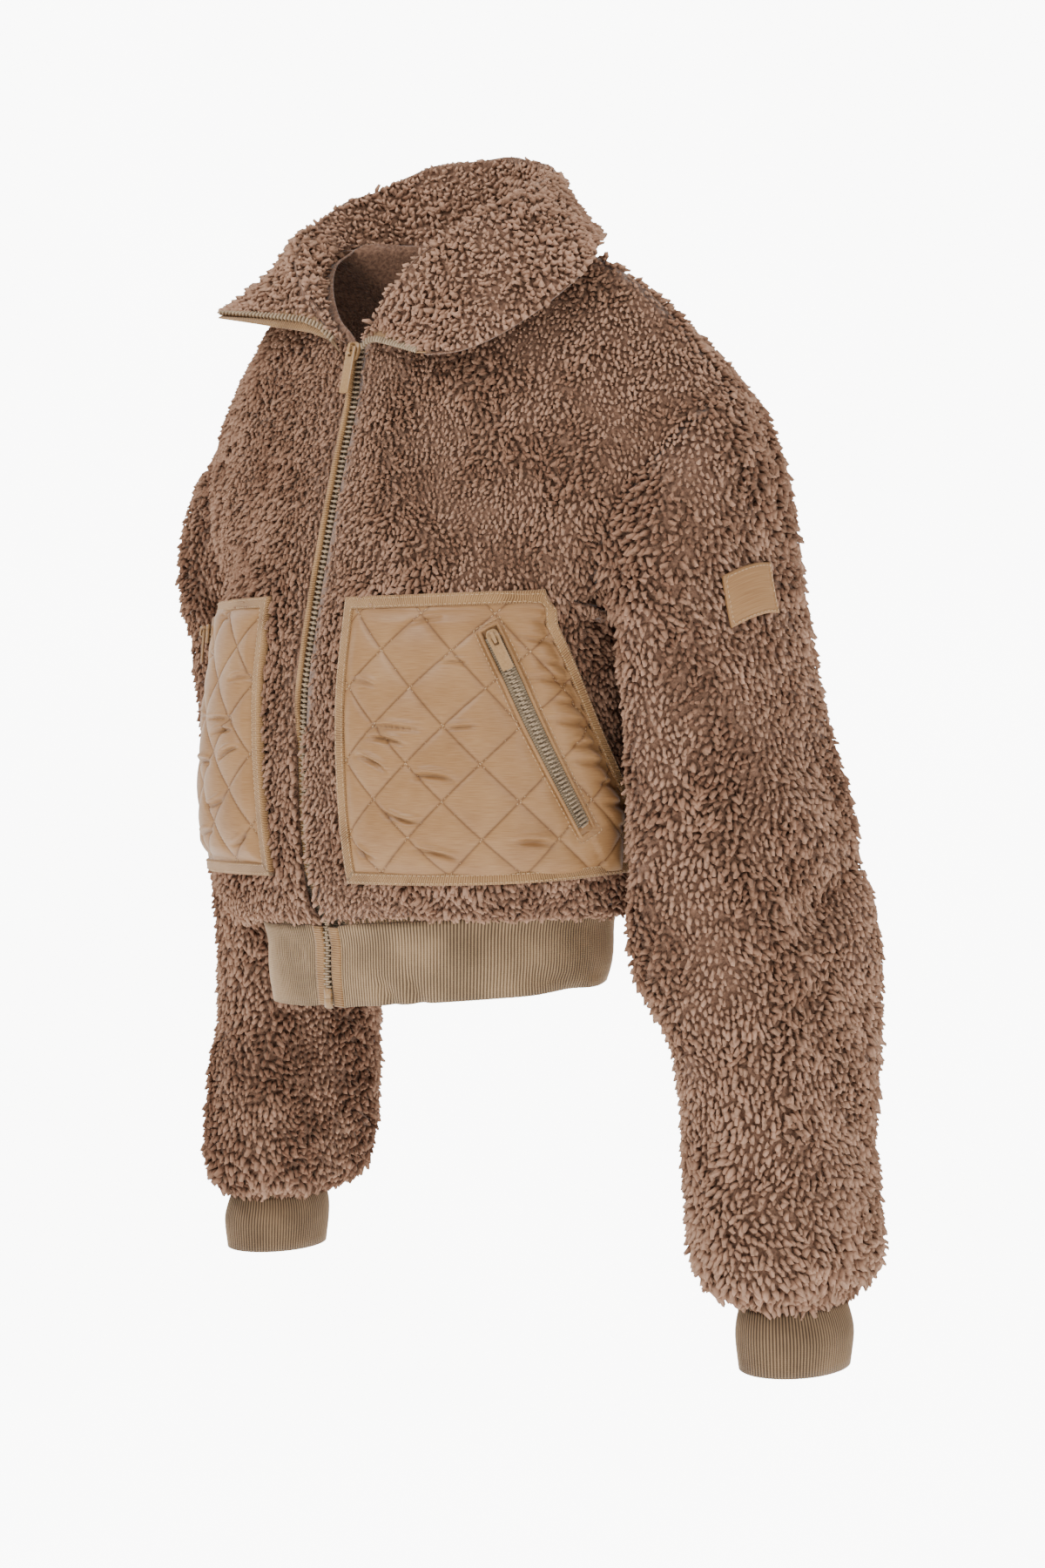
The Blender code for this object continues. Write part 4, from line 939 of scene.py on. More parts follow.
class Front:
    """Places on a front by distance from the centre line and height, always seen as a left front."""

    def __init__(self, name):
        self.side = name.split("_")[1]
        grid, ways = PANELS[name], WAYS[name]
        if self.side == "right":
            grid, ways = mirrored(grid), mirrored(ways)
        self.grid = grid
        self.pocket = POCKET[self.side]
        self.run = np.array([running(row) for row in grid]) + np.abs(grid[:, :1, 0])
        self.s, self.z = np.arange(0.4, 28.0, FRONT_STEP), np.arange(-47.0, -10.0, FRONT_STEP)
        rows, turns = [np.array([[np.interp(self.s, r, q[:, k]) for k in range(3)]
                                 for q, r in zip(table, self.run)]) for table in (grid, ways)]

        def at_heights(lines):
            """A table by distance and height, from one by row and distance."""
            return np.array([np.stack([np.interp(self.z, high, line) for line in column], axis=1)
                             for high, column in zip(rows[:, 2].T, lines.T)])

        self.places, self.ways = at_heights(rows), at_heights(turns)

    def reach(self, z):
        """How far out the pocket may run at a height: nearly to the side seam."""
        return np.interp(z, self.grid[:, -1, 2], self.run[:, -1]) - POCKET_MARGIN

    def pocket_edges(self, z):
        """Inner and outer edge of the pocket at a height, before its rise."""
        inner_top, inner_bottom, corner, _ = self.pocket
        v = (z - POCKET_BOTTOM) / (POCKET_TOP - POCKET_BOTTOM)
        return inner_bottom + (inner_top - inner_bottom) * v, slanted(corner, POCKET_TOP - z)

    def at(self, s, z, lift=0.0):
        """Places and outward ways for arrays of distance and height, moved out by the lift."""
        a = np.clip((np.asarray(s, float) - self.s[0]) / FRONT_STEP, 0, len(self.s) - 1.001)
        b = np.clip((np.asarray(z, float) - self.z[0]) / FRONT_STEP, 0, len(self.z) - 1.001)
        way = unit(blended(self.ways, a, b))
        out = blended(self.places, a, b) + way * np.asarray(lift, float)[..., None]
        if self.side == "right":
            out, way = out * OTHER_SIDE, way * OTHER_SIDE
        return out, way

    def pocket_spot(self, u, v, inset):
        """Distance and height on the pocket: u from its inner to outer edge, v from bottom to top."""
        inner_top, inner_bottom, corner, rise = self.pocket
        z = POCKET_BOTTOM + inset + (POCKET_TOP - POCKET_BOTTOM - 2 * inset) * v
        start = inner_bottom + (inner_top - inner_bottom) * v + inset
        end = np.minimum(slanted(corner, POCKET_TOP - z), self.reach(z)) - inset
        s = start + (end - start) * u
        return s, z + rise * (s - start)

    def under_pocket(self, inset):
        """Which points of the panel's own grid lie under the pocket, the inset away from its edge."""
        s, z = self.run, self.grid[..., 2]
        flat = z - self.pocket[3] * (s - self.pocket[1])
        start, end = self.pocket_edges(flat)
        inside = np.min([s - start, np.minimum(end, self.reach(z)) - s, flat - POCKET_BOTTOM,
                         POCKET_TOP - flat], axis=0)
        inside = inside[:, ::-1] if self.side == "right" else inside
        return np.clip((inside - inset) / 0.3, 0, 1)


FRONTS = {side: Front("front_" + side) for side in ("left", "right")}
# Points along the main zip's pull when it is swung as far as it goes.
LAID_UP = np.linspace([0, -5.8, -9.4], [0, -7.6, -6.4], 12)
PATCH_ROW, PATCH_COL = 3.24, 0.35       # middle of the sleeve's patch on the coarse grid
PATCH_ROWS, PATCH_COLS = 0.40, 0.67     # half its size

# %% [markdown]
# ### Growing it
#
# The ground for each panel is the outer layer of its cloth. After the locks are grown, the result is
# one plain mesh for each panel, and the ground is thrown away.

# %% Grow the pile
PILE_SPACING = {"front_left": 0.0027, "front_right": 0.0028, "back": 0.0033, "sleeve_left": 0.0032,
                "sleeve_right": 0.0033, "collar": 0.0030}
BIG_CURLS = {"front_left": 0.86, "front_right": 0.92, "back": 1.0, "sleeve_left": 1.03,
             "sleeve_right": 1.03, "collar": 0.95}


def pile_values(name, grid, way):
    """How dense, how long, which way it lies and how pale the pile is at each point of a panel, with
    painted shade in its paleness.
    """
    rows, cols = grid.shape[:2]
    r, c = np.linspace(0, 1, rows)[:, None], np.linspace(0, 1, cols)[None]
    keep = np.ones((rows, cols))
    own = len(name)                                             # each panel's own waves
    curls = waves(grid, own, 9.0) * 0.55 + waves(grid, 3 + own, 3.4) * 0.45
    size = (0.74 + 0.42 * curls) * BIG_CURLS[name]
    worn = waves(grid, 40 + own, 5.5) * 0.6 + waves(grid, 70 + own, 2.6) * 0.4
    brushed = np.clip((worn - 0.42) / 0.22, 0, 1)
    if name.startswith("front"):
        place = FRONTS[name.split("_")[1]]
        from_edge = place.run - place.run[:, :1]
        if place.side == "right":
            from_edge = from_edge[:, ::-1]
            brushed = np.clip(brushed + 0.4, 0, 1)
        brushed = np.maximum(brushed, np.clip(1.1 - from_edge / 3.6, 0, 1))
    size = size * (1 - 0.12 * brushed)
    swirl = waves(grid, 20 + own, 6.0) * 0.5 + waves(grid, 90 + own, 2.2) * 0.5 - 0.5
    nap = falling(way) * (0.8 + 1.7 * brushed)[..., None] + sideways(way) * (3.2 * swirl)[..., None]
    # Paleness and painted shade of the locks: paler where the pile is brushed flat, which lifts the
    # painted shade at their roots.
    tint = 0.50 * brushed - 0.12
    if name.startswith("front"):
        keep *= 1 - place.under_pocket(0.35)
        beside = place.under_pocket(-0.9) - place.under_pocket(-0.1)
        size = size * (1 + 0.28 * beside)                      # long locks hang over the pocket's tape
        nap = nap + falling(way) * (1.1 * beside)[..., None]
        size = size * (0.86 + 0.14 * np.clip(r * 9, 0, 1))
        # Paler along the hem seam; darker on the wearer's right front, a painted shade on the jacket's far
        # side.
        tint = tint + 0.55 * np.clip(1 - r / 0.14, 0, 1) - (0.22 if place.side == "right" else 0.04)
        toward = np.array([-1.0 if place.side == "left" else 1.0, 0, 0])
        shut = np.clip((-33.5 - grid[..., 2]) / 2.0, 0, 1)      # the pile closes over the zip's lower half
        keep *= 1 - (1 - shut) * (from_edge < 0.50)
        size *= 1 + (0.30 * shut - 0.38 * (1 - shut)) * np.clip(1 - from_edge / 1.0, 0, 1)
        nap = nap + toward * (1.6 * shut * np.clip(1 - from_edge / 1.2, 0, 1))[..., None]
    if name.startswith("sleeve"):
        size *= 1.06 - 0.06 * np.clip(r / 0.05, 0, 1)
        size *= 1 + 0.16 * np.clip((r - 0.75) / 0.2, 0, 1)
    if name == "sleeve_right":
        # Painted shade: the far sleeve is darker.
        tint = tint - 0.22
    if name == "sleeve_left":
        row, col = r * SLEEVE_ROWS, c * SLEEVE_COLS
        col = np.where(col > SLEEVE_COLS / 2, col - SLEEVE_COLS, col)
        under = (np.abs(row - PATCH_ROW) < PATCH_ROWS * 0.8) & (np.abs(col - PATCH_COL) < PATCH_COLS * 0.8)
        keep = np.where(under, 0.0, keep)
        # Paler on the lower half of the sleeve.
        tint = tint + 0.34 * np.clip((r - 0.5) / 0.25, 0, 1)
    if name == "collar":
        edge = np.clip((r - 0.84) / 0.16, 0, 1)
        nap = falling(way) * 0.5 + np.gradient(grid, axis=0) * (0.4 + 2.2 * edge)[..., None]
        size = size * (1 + 0.15 * edge)
        near = np.linalg.norm(grid[:, :, None] - LAID_UP, axis=-1).min(axis=-1)
        keep = np.where(near < 0.8, 0.0, keep)                  # room for the pull when it is laid up
        size = size * np.clip(near / 1.5, 0.4, 1)
        # Paler on the collar.
        tint = tint + 0.35
    return keep, size, nap, tint


def grow_pile(name, grid, way, closed, seed):
    """The pile of one panel as one mesh."""
    ground = sheet_mesh(name + "_ground", grid - way * PILE_DEPTH, closed)
    keep, size, nap, tint = pile_values(name, grid, way)
    for label, values in (("keep", keep), ("size", size), ("tint", tint)):
        attribute = ground.data.attributes.new(label, "FLOAT", "POINT")
        attribute.data.foreach_set("value", np.broadcast_to(values, grid.shape[:2]).ravel())
    attribute = ground.data.attributes.new("nap", "FLOAT_VECTOR", "POINT")
    attribute.data.foreach_set("vector", nap.ravel())
    modifier = ground.modifiers.new("pile", "NODES")
    modifier.node_group = PILE_TREE
    set_inputs(modifier, PILE_TREE, Spacing=PILE_SPACING[name], Ruffle=0.75, Seed=seed, Locks=lock_box,
               Finish=PILE)
    pile = evaluated_mesh(name + "_pile", ground)
    bpy.data.objects.remove(ground, do_unlink=True)
    return pile


PILES = {}
for seed, name in enumerate(PANELS):
    PILES[name] = grow_pile(name, PANELS[name], WAYS[name], CLOSED[name], seed + 1)
    print(name, "pile:", triangles(PILES[name]), "triangles")
print("pile in all:", sum(triangles(p) for p in PILES.values()), "triangles")

# %% [markdown]
# ## Into the construction model's bodies
#
# The cloth is one body with everything sewn to it. Each finished piece rides on that body and stands for
# its plain solid, which is hidden.

# %% Fleece pieces ride on the jacket
BODY = "jacket"


def place_piece(piece, slot, *nodes, body=BODY):
    """Rides a piece on a body and hides the plain solids it stands for; its slot is not used."""
    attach(piece, body)
    if nodes:
        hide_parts(*nodes)


for name, pile in PILES.items():
    place_piece(SHEETS[name]["piece"], "pile_fleece", name)
    place_piece(pile, "pile_fleece")
    SHEETS[name]["with"].append(pile)

for lock in list(lock_box.objects):
    bpy.data.objects.remove(lock, do_unlink=True)
bpy.data.collections.remove(lock_box)

# %% [markdown]
# ## Rib knit
#
# Cuffs and hem band are doubled rib: columns of plain stitches stand up, and the purl columns between
# them sink away. The ribs are real here, as the band is wide in the picture, so the outer layer is a
# fine grid whose columns follow the ribs. The stitches within a rib are too small for faces and are a
# bump along the rib, which reads the piece's own map of ribs (U) and courses (V).

# %% Rib material
def rib_material(name, dark, middle, pale):
    """Doubled rib knit of dull cotton and polyester yarn, painted paler on its crowns and darker in the
    purl columns between them: painted highlight and painted shade.
    """
    mat, tree, shader = new_material(name, Roughness=0.88, Sheen_Weight=0.25,
                                     Sheen_Roughness=0.4, Specular_IOR_Level=0.25)
    uv = node(tree, "ShaderNodeUVMap", uv_map="cloth").outputs["UV"]
    parts = node(tree, "ShaderNodeSeparateXYZ", links={"Vector": uv})
    turn = node(tree, "ShaderNodeMath", {1: 2 * math.pi}, {0: parts.outputs["X"]}, operation="MULTIPLY")
    # Painted highlight on the crowns of the ribs, painted shade in the sunken columns between them.
    crown = node(tree, "ShaderNodeMath", links={0: turn.outputs[0]}, operation="COSINE")
    place = node(tree, "ShaderNodeTexCoord").outputs["Object"]
    slow = node(tree, "ShaderNodeTexNoise", {"Scale": 30.0, "Detail": 3.0}, {"Vector": place})
    both = node(tree, "ShaderNodeMath", {1: 0.42}, {0: crown.outputs[0], 2: slow.outputs["Fac"]},
                operation="MULTIPLY_ADD")
    colour = node(tree, "ShaderNodeValToRGB", links={"Fac": both.outputs[0]}, stops=[
        (0.15, dark), (0.55, middle), (0.9, pale)]).outputs["Color"]
    course = node(tree, "ShaderNodeTexWave", {"Scale": 0.5, "Distortion": 0.6, "Detail": 1.0},
                  {"Vector": uv}, wave_type="BANDS", bands_direction="Y")
    dress(tree, shader, colour, course.outputs["Fac"], 0.35, 0.0006)
    return mat


RIB = rib_material("doubled_rib_knit", "#5A4836", "#927959", "#AD9070")
# The cuffs take darker colours than the hem band: painted shade under the sleeves.
CUFF_RIB = rib_material("shaded_cuff_rib_knit", "#4B3A2A", "#786047", "#907659")


def map_grid(piece, u, v):
    """Gives a wall made from grids the map named cloth; its inner layer has the same one."""
    values = np.stack([u.ravel(), v.ravel()], axis=1)
    values = np.vstack([values, values])
    mesh = piece.data
    layer = mesh.uv_layers.new(name="cloth")
    corner = np.zeros(len(mesh.loops), dtype=np.int32)
    mesh.loops.foreach_get("vertex_index", corner)
    layer.data.foreach_set("uv", values[corner].astype(np.float32).ravel())
    return piece


# %% Ribbed pieces
RIB_PITCH = 0.22        # from one rib to the next
RIB_POINTS = 4          # columns of the grid for each rib
RIB_HIGH = 0.055


def ribbed(name, grid, closed, rows_each, mat, buckles=()):
    """Rib cloth on a coarse grid, with its ribs as relief on the outer layer."""
    rough = finer(grid, rows_each, 4, closed)
    if closed:
        rough = np.concatenate([rough, rough[:, :1]], axis=1)
    ribs = int(round(running(rough[len(rough) // 2])[-1] / RIB_PITCH))
    count = ribs * RIB_POINTS + int(not closed)
    outer = np.array([resample(line, count + int(closed))[:count] for line in rough])
    way = sewn_normals([outer], [closed])[0]
    outer = outer + way * fold_push(chart(outer, closed), buckles)[..., None]
    rib = np.broadcast_to(np.arange(count) / RIB_POINTS, outer.shape[:2])
    sunk = RIB_HIGH * (0.5 - 0.5 * np.cos(2 * math.pi * rib))
    piece = wall_mesh(name, outer - way * sunk[..., None], outer - way * RIB_WALL * 0.8, closed)
    courses = np.broadcast_to(np.linspace(0, 1, len(outer))[:, None] * 30, outer.shape[:2])
    map_grid(piece, rib, courses)
    piece.data.materials.append(mat)
    remember_sheet(name, piece, outer, closed)
    print(name, ribs, "ribs,", triangles(piece), "triangles")
    return piece


cuff = cuff_grid()
for side in ("left", "right"):
    ring = cuff if side == "left" else mirrored(cuff)
    piece = ribbed("cuff_rib_" + side, ring, True, 3, CUFF_RIB)
    place_piece(piece, "rib_knit", "cuff_" + side)

BUCKLES = [  # along the band from the wearer's right zip edge, height; bow, half width, depth
    (2.6, -50.6, 4.4, -53.2, 0.3, 0.45, -0.34), (5.2, -50.0, 6.8, -52.9, -0.3, 0.45, -0.38),
    (8.0, -52.4, 15.0, -50.8, -0.5, 0.6, 0.26), (13.0, -50.4, 19.0, -52.8, 0.4, 0.6, -0.34),
    (18.0, -50.2, 24.0, -51.6, -0.4, 0.6, -0.24), (30.0, -50.6, 39.0, -51.4, 0.5, 0.8, 0.20),
    (44.0, -50.2, 52.0, -51.2, -0.5, 0.8, -0.22), (55.0, -50.3, 60.0, -52.0, 0.4, 0.6, -0.28),
    (62.0, -50.6, 70.0, -49.8, 0.5, 0.7, 0.22)]
seam_line = np.vstack([front[0], back[0][1:], right_front[0][1:]])
hem = hem_grid(seam_line)[::-1]
hem_piece = ribbed("hem_rib", hem, False, 3, RIB, BUCKLES)
place_piece(hem_piece, "rib_knit", "hem_band")

# %% [markdown]
# ## Satin, tape and stitches
#
# The pockets are cut from a nylon satin with a little wadding under it, sewn down in diamonds. The
# satin has a faint sheen across its threads. The edges are bound with a ribbed woven tape. Both
# cloths read the map of their own piece, in centimetres, so that thread runs along the cloth.

# %% Satin and tape materials
DIAMOND_WIDE, DIAMOND_TALL = 4.8, 4.7
DIAMOND_AT = (9.55, -31.6)      # where two diamond seams cross


def seam_distance(tree, uv):
    """Distance to the nearest diamond seam in centimetres, from the map of the cloth."""
    parts = node(tree, "ShaderNodeSeparateXYZ", links={"Vector": uv})
    found = []
    for sign in (1, -1):
        high = node(tree, "ShaderNodeMath", {1: sign / DIAMOND_TALL, 2: -DIAMOND_AT[0] / DIAMOND_WIDE
                                             - sign * DIAMOND_AT[1] / DIAMOND_TALL},
                    {0: parts.outputs["Y"]}, operation="MULTIPLY_ADD")
        both = node(tree, "ShaderNodeMath", {1: 1 / DIAMOND_WIDE},
                    {0: parts.outputs["X"], 2: high.outputs[0]}, operation="MULTIPLY_ADD")
        found.append(node(tree, "ShaderNodeMath", {1: 0.5}, {0: both.outputs[0]}, operation="PINGPONG"))
    least = node(tree, "ShaderNodeMath", links={0: found[0].outputs[0], 1: found[1].outputs[0]},
                 operation="MINIMUM")
    return node(tree, "ShaderNodeMath", {1: math.hypot(1 / DIAMOND_WIDE, 1 / DIAMOND_TALL)},
                {0: least.outputs[0]}, operation="DIVIDE").outputs[0]


def satin_material(name, quilted):
    """Nylon satin: fine threads across the pocket, a soft sheen, and shade where seams draw it in."""
    mat, tree, shader = new_material(name, Roughness=0.48, Sheen_Weight=0.10,
                                     Sheen_Roughness=0.35, Specular_IOR_Level=0.35, Anisotropic=0.35)
    uv = node(tree, "ShaderNodeUVMap", uv_map="cloth").outputs["UV"]
    long = node(tree, "ShaderNodeMapping", {"Scale": (0.9, 26.0, 1.0)}, {"Vector": uv})
    thread = node(tree, "ShaderNodeTexNoise", {"Scale": 1.0, "Detail": 3.0}, {"Vector": long.outputs[0]})
    slow = node(tree, "ShaderNodeTexNoise", {"Scale": 0.35, "Detail": 2.0}, {"Vector": uv})
    both = node(tree, "ShaderNodeMath", {1: 0.5}, {0: slow.outputs["Fac"], 2: thread.outputs["Fac"]},
                operation="MULTIPLY_ADD")
    colour = node(tree, "ShaderNodeValToRGB", links={"Fac": both.outputs[0]}, stops=[
        (0.45, "#86603B"), (0.75, "#99724A"), (1.0, "#A47F56")]).outputs["Color"]
    sunk = None
    if quilted:
        away = seam_distance(tree, uv)
        shade = node(tree, "ShaderNodeValToRGB", links={"Fac": away}, stops=[
            (0.0, "#BFB5AB"), (0.06, "#E6E2DD"), (0.14, "#FFFFFF")]).outputs["Color"]
        colour = node(tree, "ShaderNodeMix", {"Factor": 1.0}, {"A": colour, "B": shade},
                      data_type="RGBA", blend_type="MULTIPLY").outputs["Result"]
        groove = node(tree, "ShaderNodeValToRGB", links={"Fac": away}, stops=[
            (0.0, "#000000"), (0.14, "#C8C8C8"), (0.35, "#FFFFFF")]).outputs["Color"]
        sunk = node(tree, "ShaderNodeBump", {"Strength": 0.35, "Distance": 0.0010},
                    {"Height": groove}).outputs["Normal"]
    dress(tree, shader, colour, thread.outputs["Fac"], 0.10, 0.0006, sunk)
    return mat


def tape_material(name, dark, middle, pale):
    """Ribbed woven tape: fine cross ribs, dull, a touch greener than the satin."""
    mat, tree, shader = new_material(name, Roughness=0.74, Sheen_Weight=0.2,
                                     Specular_IOR_Level=0.3)
    uv = node(tree, "ShaderNodeUVMap", uv_map="cloth").outputs["UV"]
    wave = node(tree, "ShaderNodeTexWave", {"Scale": 2.0, "Distortion": 0.3, "Detail": 1.0},
                {"Vector": uv}, wave_type="BANDS", bands_direction="X")
    place = node(tree, "ShaderNodeTexCoord").outputs["Object"]
    slow = node(tree, "ShaderNodeTexNoise", {"Scale": 45.0, "Detail": 2.0}, {"Vector": place})
    both = node(tree, "ShaderNodeMath", {1: 0.5}, {0: wave.outputs["Fac"], 2: slow.outputs["Fac"]},
                operation="MULTIPLY_ADD")
    colour = node(tree, "ShaderNodeValToRGB", links={"Fac": both.outputs[0]}, stops=[
        (0.30, dark), (0.62, middle), (0.95, pale)]).outputs["Color"]
    dress(tree, shader, colour, wave.outputs["Fac"], 0.8, 0.0007)
    return mat


def thread_material(name, dark, pale):
    """Spun polyester sewing thread, twisted, a little shiny."""
    mat, tree, shader = new_material(name, Roughness=0.55, Sheen_Weight=0.2)
    place = node(tree, "ShaderNodeTexCoord").outputs["Object"]
    slow = node(tree, "ShaderNodeTexNoise", {"Scale": 300.0, "Detail": 1.0}, {"Vector": place})
    dress(tree, shader, node(tree, "ShaderNodeValToRGB", links={"Fac": slow.outputs["Fac"]}, stops=[
        (0.3, dark), (0.7, pale)]).outputs["Color"])
    return mat


SATIN, PLAIN_SATIN = satin_material("quilted_nylon_satin", True), satin_material("nylon_satin", False)
TAPE = tape_material("ribbed_woven_tape", "#684827", "#977046", "#AD865A")
ZIP_TAPE = tape_material("undyed_woven_zip_tape", "#594A37", "#7F6D55", "#97866D")
THREAD = thread_material("polyester_sewing_thread", "#A8845A", "#C09D74")

# %% [markdown]
# ## A tree that sews
#
# Stitches and the teeth of a zip repeat along a line. One Geometry Nodes tree does both: it
# turns a line into a curve, reads it at an even step, and sets a copy of one small shape at each place,
# turned along the line and away from the cloth. The way out of the cloth is kept on the line's
# points as `out`.

# %% Repeat along a line
def repeat_tree():
    """Geometry Nodes: copies of one shape along a line, its X along the line and Z out of the cloth."""
    tree, given = new_tree("repeat_along_line", Line="Geometry", Step="Float", Shape="Object",
                           Finish="Material")
    curve = node(tree, "GeometryNodeMeshToCurve", links={"Mesh": given["Line"]})
    even = node(tree, "GeometryNodeResampleCurve", links={"Curve": curve.outputs[0],
                                                          "Length": given["Step"]}, mode="LENGTH")
    out = node(tree, "GeometryNodeInputNamedAttribute", {"Name": "out"}, data_type="FLOAT_VECTOR")
    tangent = node(tree, "GeometryNodeInputTangent")
    first = node(tree, "FunctionNodeAlignRotationToVector", links={"Vector": tangent.outputs[0]}, axis="X")
    turned = node(tree, "FunctionNodeAlignRotationToVector", axis="Z", pivot_axis="X", links={
        "Rotation": first.outputs["Rotation"], "Vector": out.outputs["Attribute"]})
    shape = node(tree, "GeometryNodeObjectInfo", links={"Object": given["Shape"]})
    row = node(tree, "GeometryNodeInstanceOnPoints", links={
        "Points": even.outputs[0], "Instance": shape.outputs["Geometry"],
        "Rotation": turned.outputs["Rotation"]})
    return end_tree(tree, row.outputs[0], given["Finish"])


REPEAT_TREE = repeat_tree()


def repeat_along(name, lines, shape, step, finish):
    """One plain mesh of copies of a shape along several lines of (points, ways out), in centimetres."""
    verts, edges, outs = [], [], []
    for points, ways in lines:
        start = len(verts)
        verts += list(points)
        outs += list(ways)
        edges += [(start + k, start + k + 1) for k in range(len(points) - 1)]
    mesh = bpy.data.meshes.new(name + "_line")
    mesh.from_pydata((np.array(verts) * CM).tolist(), edges, [])
    out = mesh.attributes.new("out", "FLOAT_VECTOR", "POINT")
    out.data.foreach_set("vector", np.array(outs, dtype=np.float32).ravel())
    guide = new_object(name + "_line", mesh)
    modifier = guide.modifiers.new("repeat", "NODES")
    modifier.node_group = REPEAT_TREE
    set_inputs(modifier, REPEAT_TREE, Step=step * CM, Shape=shape, Finish=finish)
    made = evaluated_mesh(name, guide)
    bpy.data.objects.remove(guide, do_unlink=True)
    print(name, triangles(made), "triangles")
    return made


def block(name, sections, sides):
    """A small closed shape along X from sections of (x, half width, low, high)."""
    verts = []
    for x, half_width, low, high in sections:
        mid, tall = (low + high) / 2, (high - low) / 2
        for k in range(sides):
            a = 2 * math.pi * (k + 0.5) / sides
            verts.append((x, half_width * math.cos(a) / math.cos(math.pi / sides),
                          mid + tall * math.sin(a) / math.cos(math.pi / sides)))
    faces = grid_faces(len(sections), sides, True, flip=True)
    faces.append(tuple(range(sides)))
    faces.append(tuple(range((len(sections) - 1) * sides, len(verts)))[::-1])
    shape = add_piece(name, verts, faces)
    bpy.context.scene.collection.objects.unlink(shape)
    return shape


STITCH = block("stitch", [(-0.115, 0.014, -0.015, 0.004), (0.0, 0.034, -0.012, 0.042),
                          (0.115, 0.014, -0.015, 0.004)], 4)
STITCH_STEP = 0.32

# %% [markdown]
# ## Pockets
#
# A pocket panel lies on the front: every point of it is a place on the front, moved out. Between the
# diamond seams the wadding puffs, at the seams it is drawn flat, and near the slanted edge the cloth
# is gathered into short uneven folds. The seams themselves are rows of stitches.

# %% Fewer faces where nobody sees them
def thin_back(piece, count):
    """Leaves out the inner layer, whose points come after the first count, but for its rim."""
    bm = bmesh.new()
    bm.from_mesh(piece.data)
    bm.verts.index_update()
    inner = [face for face in bm.faces if min(v.index for v in face.verts) >= count]
    made = bmesh.ops.dissolve_faces(bm, faces=inner)
    bmesh.ops.triangulate(bm, faces=made["region"])
    bm.to_mesh(piece.data)
    bm.free()


# %% Pocket panels
PUFF = {"left": 0.30, "right": 0.36}    # height of a diamond's middle
SWELL = 0.22            # height of the strip between the zip and the slanted edge
PANEL_COLS, PANEL_ROWS = 112, 183       # points of a panel's grid
RIDGE_HIGH, RIDGE_AWAY = 0.6, 1.75      # a crease's ridge: share of its depth, half widths above it
POCKET_RIM, POCKET_BELLY = 0.12, 0.24   # height of the panel's seams over the pile's level: rim, added
WRINKLES = [  # start (along, height), end (along, height), bow, half width, depth
    (6.7, -34.1, 10.9, -34.3, 0.12, 0.16, -0.32), (6.5, -34.8, 9.6, -35.2, 0.15, 0.15, -0.38),
    (5.7, -35.9, 8.3, -36.9, 0.2, 0.16, -0.43), (10, -37.2, 12.9, -37.4, 0.25, 0.19, -0.43),
    (7.8, -39.3, 10.6, -40, -0.2, 0.17, -0.41), (9.8, -41.7, 12.9, -42.3, 0.15, 0.16, -0.34),
    (11.3, -30, 13.1, -30.1, 0.1, 0.13, -0.23), (12.1, -34.2, 14.2, -34, 0.1, 0.13, -0.27),
    (16.2, -41.2, 18.9, -41.4, 0.15, 0.2, -0.41), (5, -31.2, 7.2, -31.6, 0.12, 0.14, -0.27),
    (9, -27.6, 11.2, -27.2, 0.1, 0.14, -0.22), (5.2, -41.6, 7, -42.4, -0.12, 0.15, -0.27)]
GATHERS = [  # below the pocket's top, reach inwards from the slanted edge, half width, depth
    (1.6, 2.0, 0.22, -0.24), (2.8, 2.7, 0.19, -0.28), (4.3, 1.8, 0.18, -0.22), (5.4, 3.0, 0.24, -0.32),
    (6.9, 2.1, 0.19, -0.28), (8.1, 3.1, 0.24, -0.36), (9.6, 2.4, 0.20, -0.32), (10.7, 3.2, 0.24, -0.32),
    (12.1, 1.9, 0.19, -0.26), (13.4, 2.6, 0.24, -0.24), (14.9, 2.0, 0.20, -0.20)]


def with_ridges(folds):
    """Each crease with the ridge that the same cloth pushes up on its upper side."""
    found = []
    for s0, z0, s1, z1, bow, half_width, depth in folds:
        x, y = np.array([z0 - z1, s1 - s0]) / math.hypot(s1 - s0, z1 - z0) * half_width * RIDGE_AWAY
        found += [(s0, z0, s1, z1, bow, half_width, depth),
                  (s0 + x, z0 + y, s1 + x, z1 + y, bow, half_width, -depth * RIDGE_HIGH)]
    return found


def diamond(s, z):
    """Two coordinates that are whole numbers on the two sets of diamond seams."""
    a, b = (s - DIAMOND_AT[0]) / DIAMOND_WIDE, (z - DIAMOND_AT[1]) / DIAMOND_TALL
    return a + b, a - b


def welt_place(s, z):
    """Places along and across the slanted slot, measured from the middle of its upper end."""
    run = np.stack([s, z], axis=-1) - WELT_TOP
    return run @ WELT_WAY, run @ WELT_SIDE


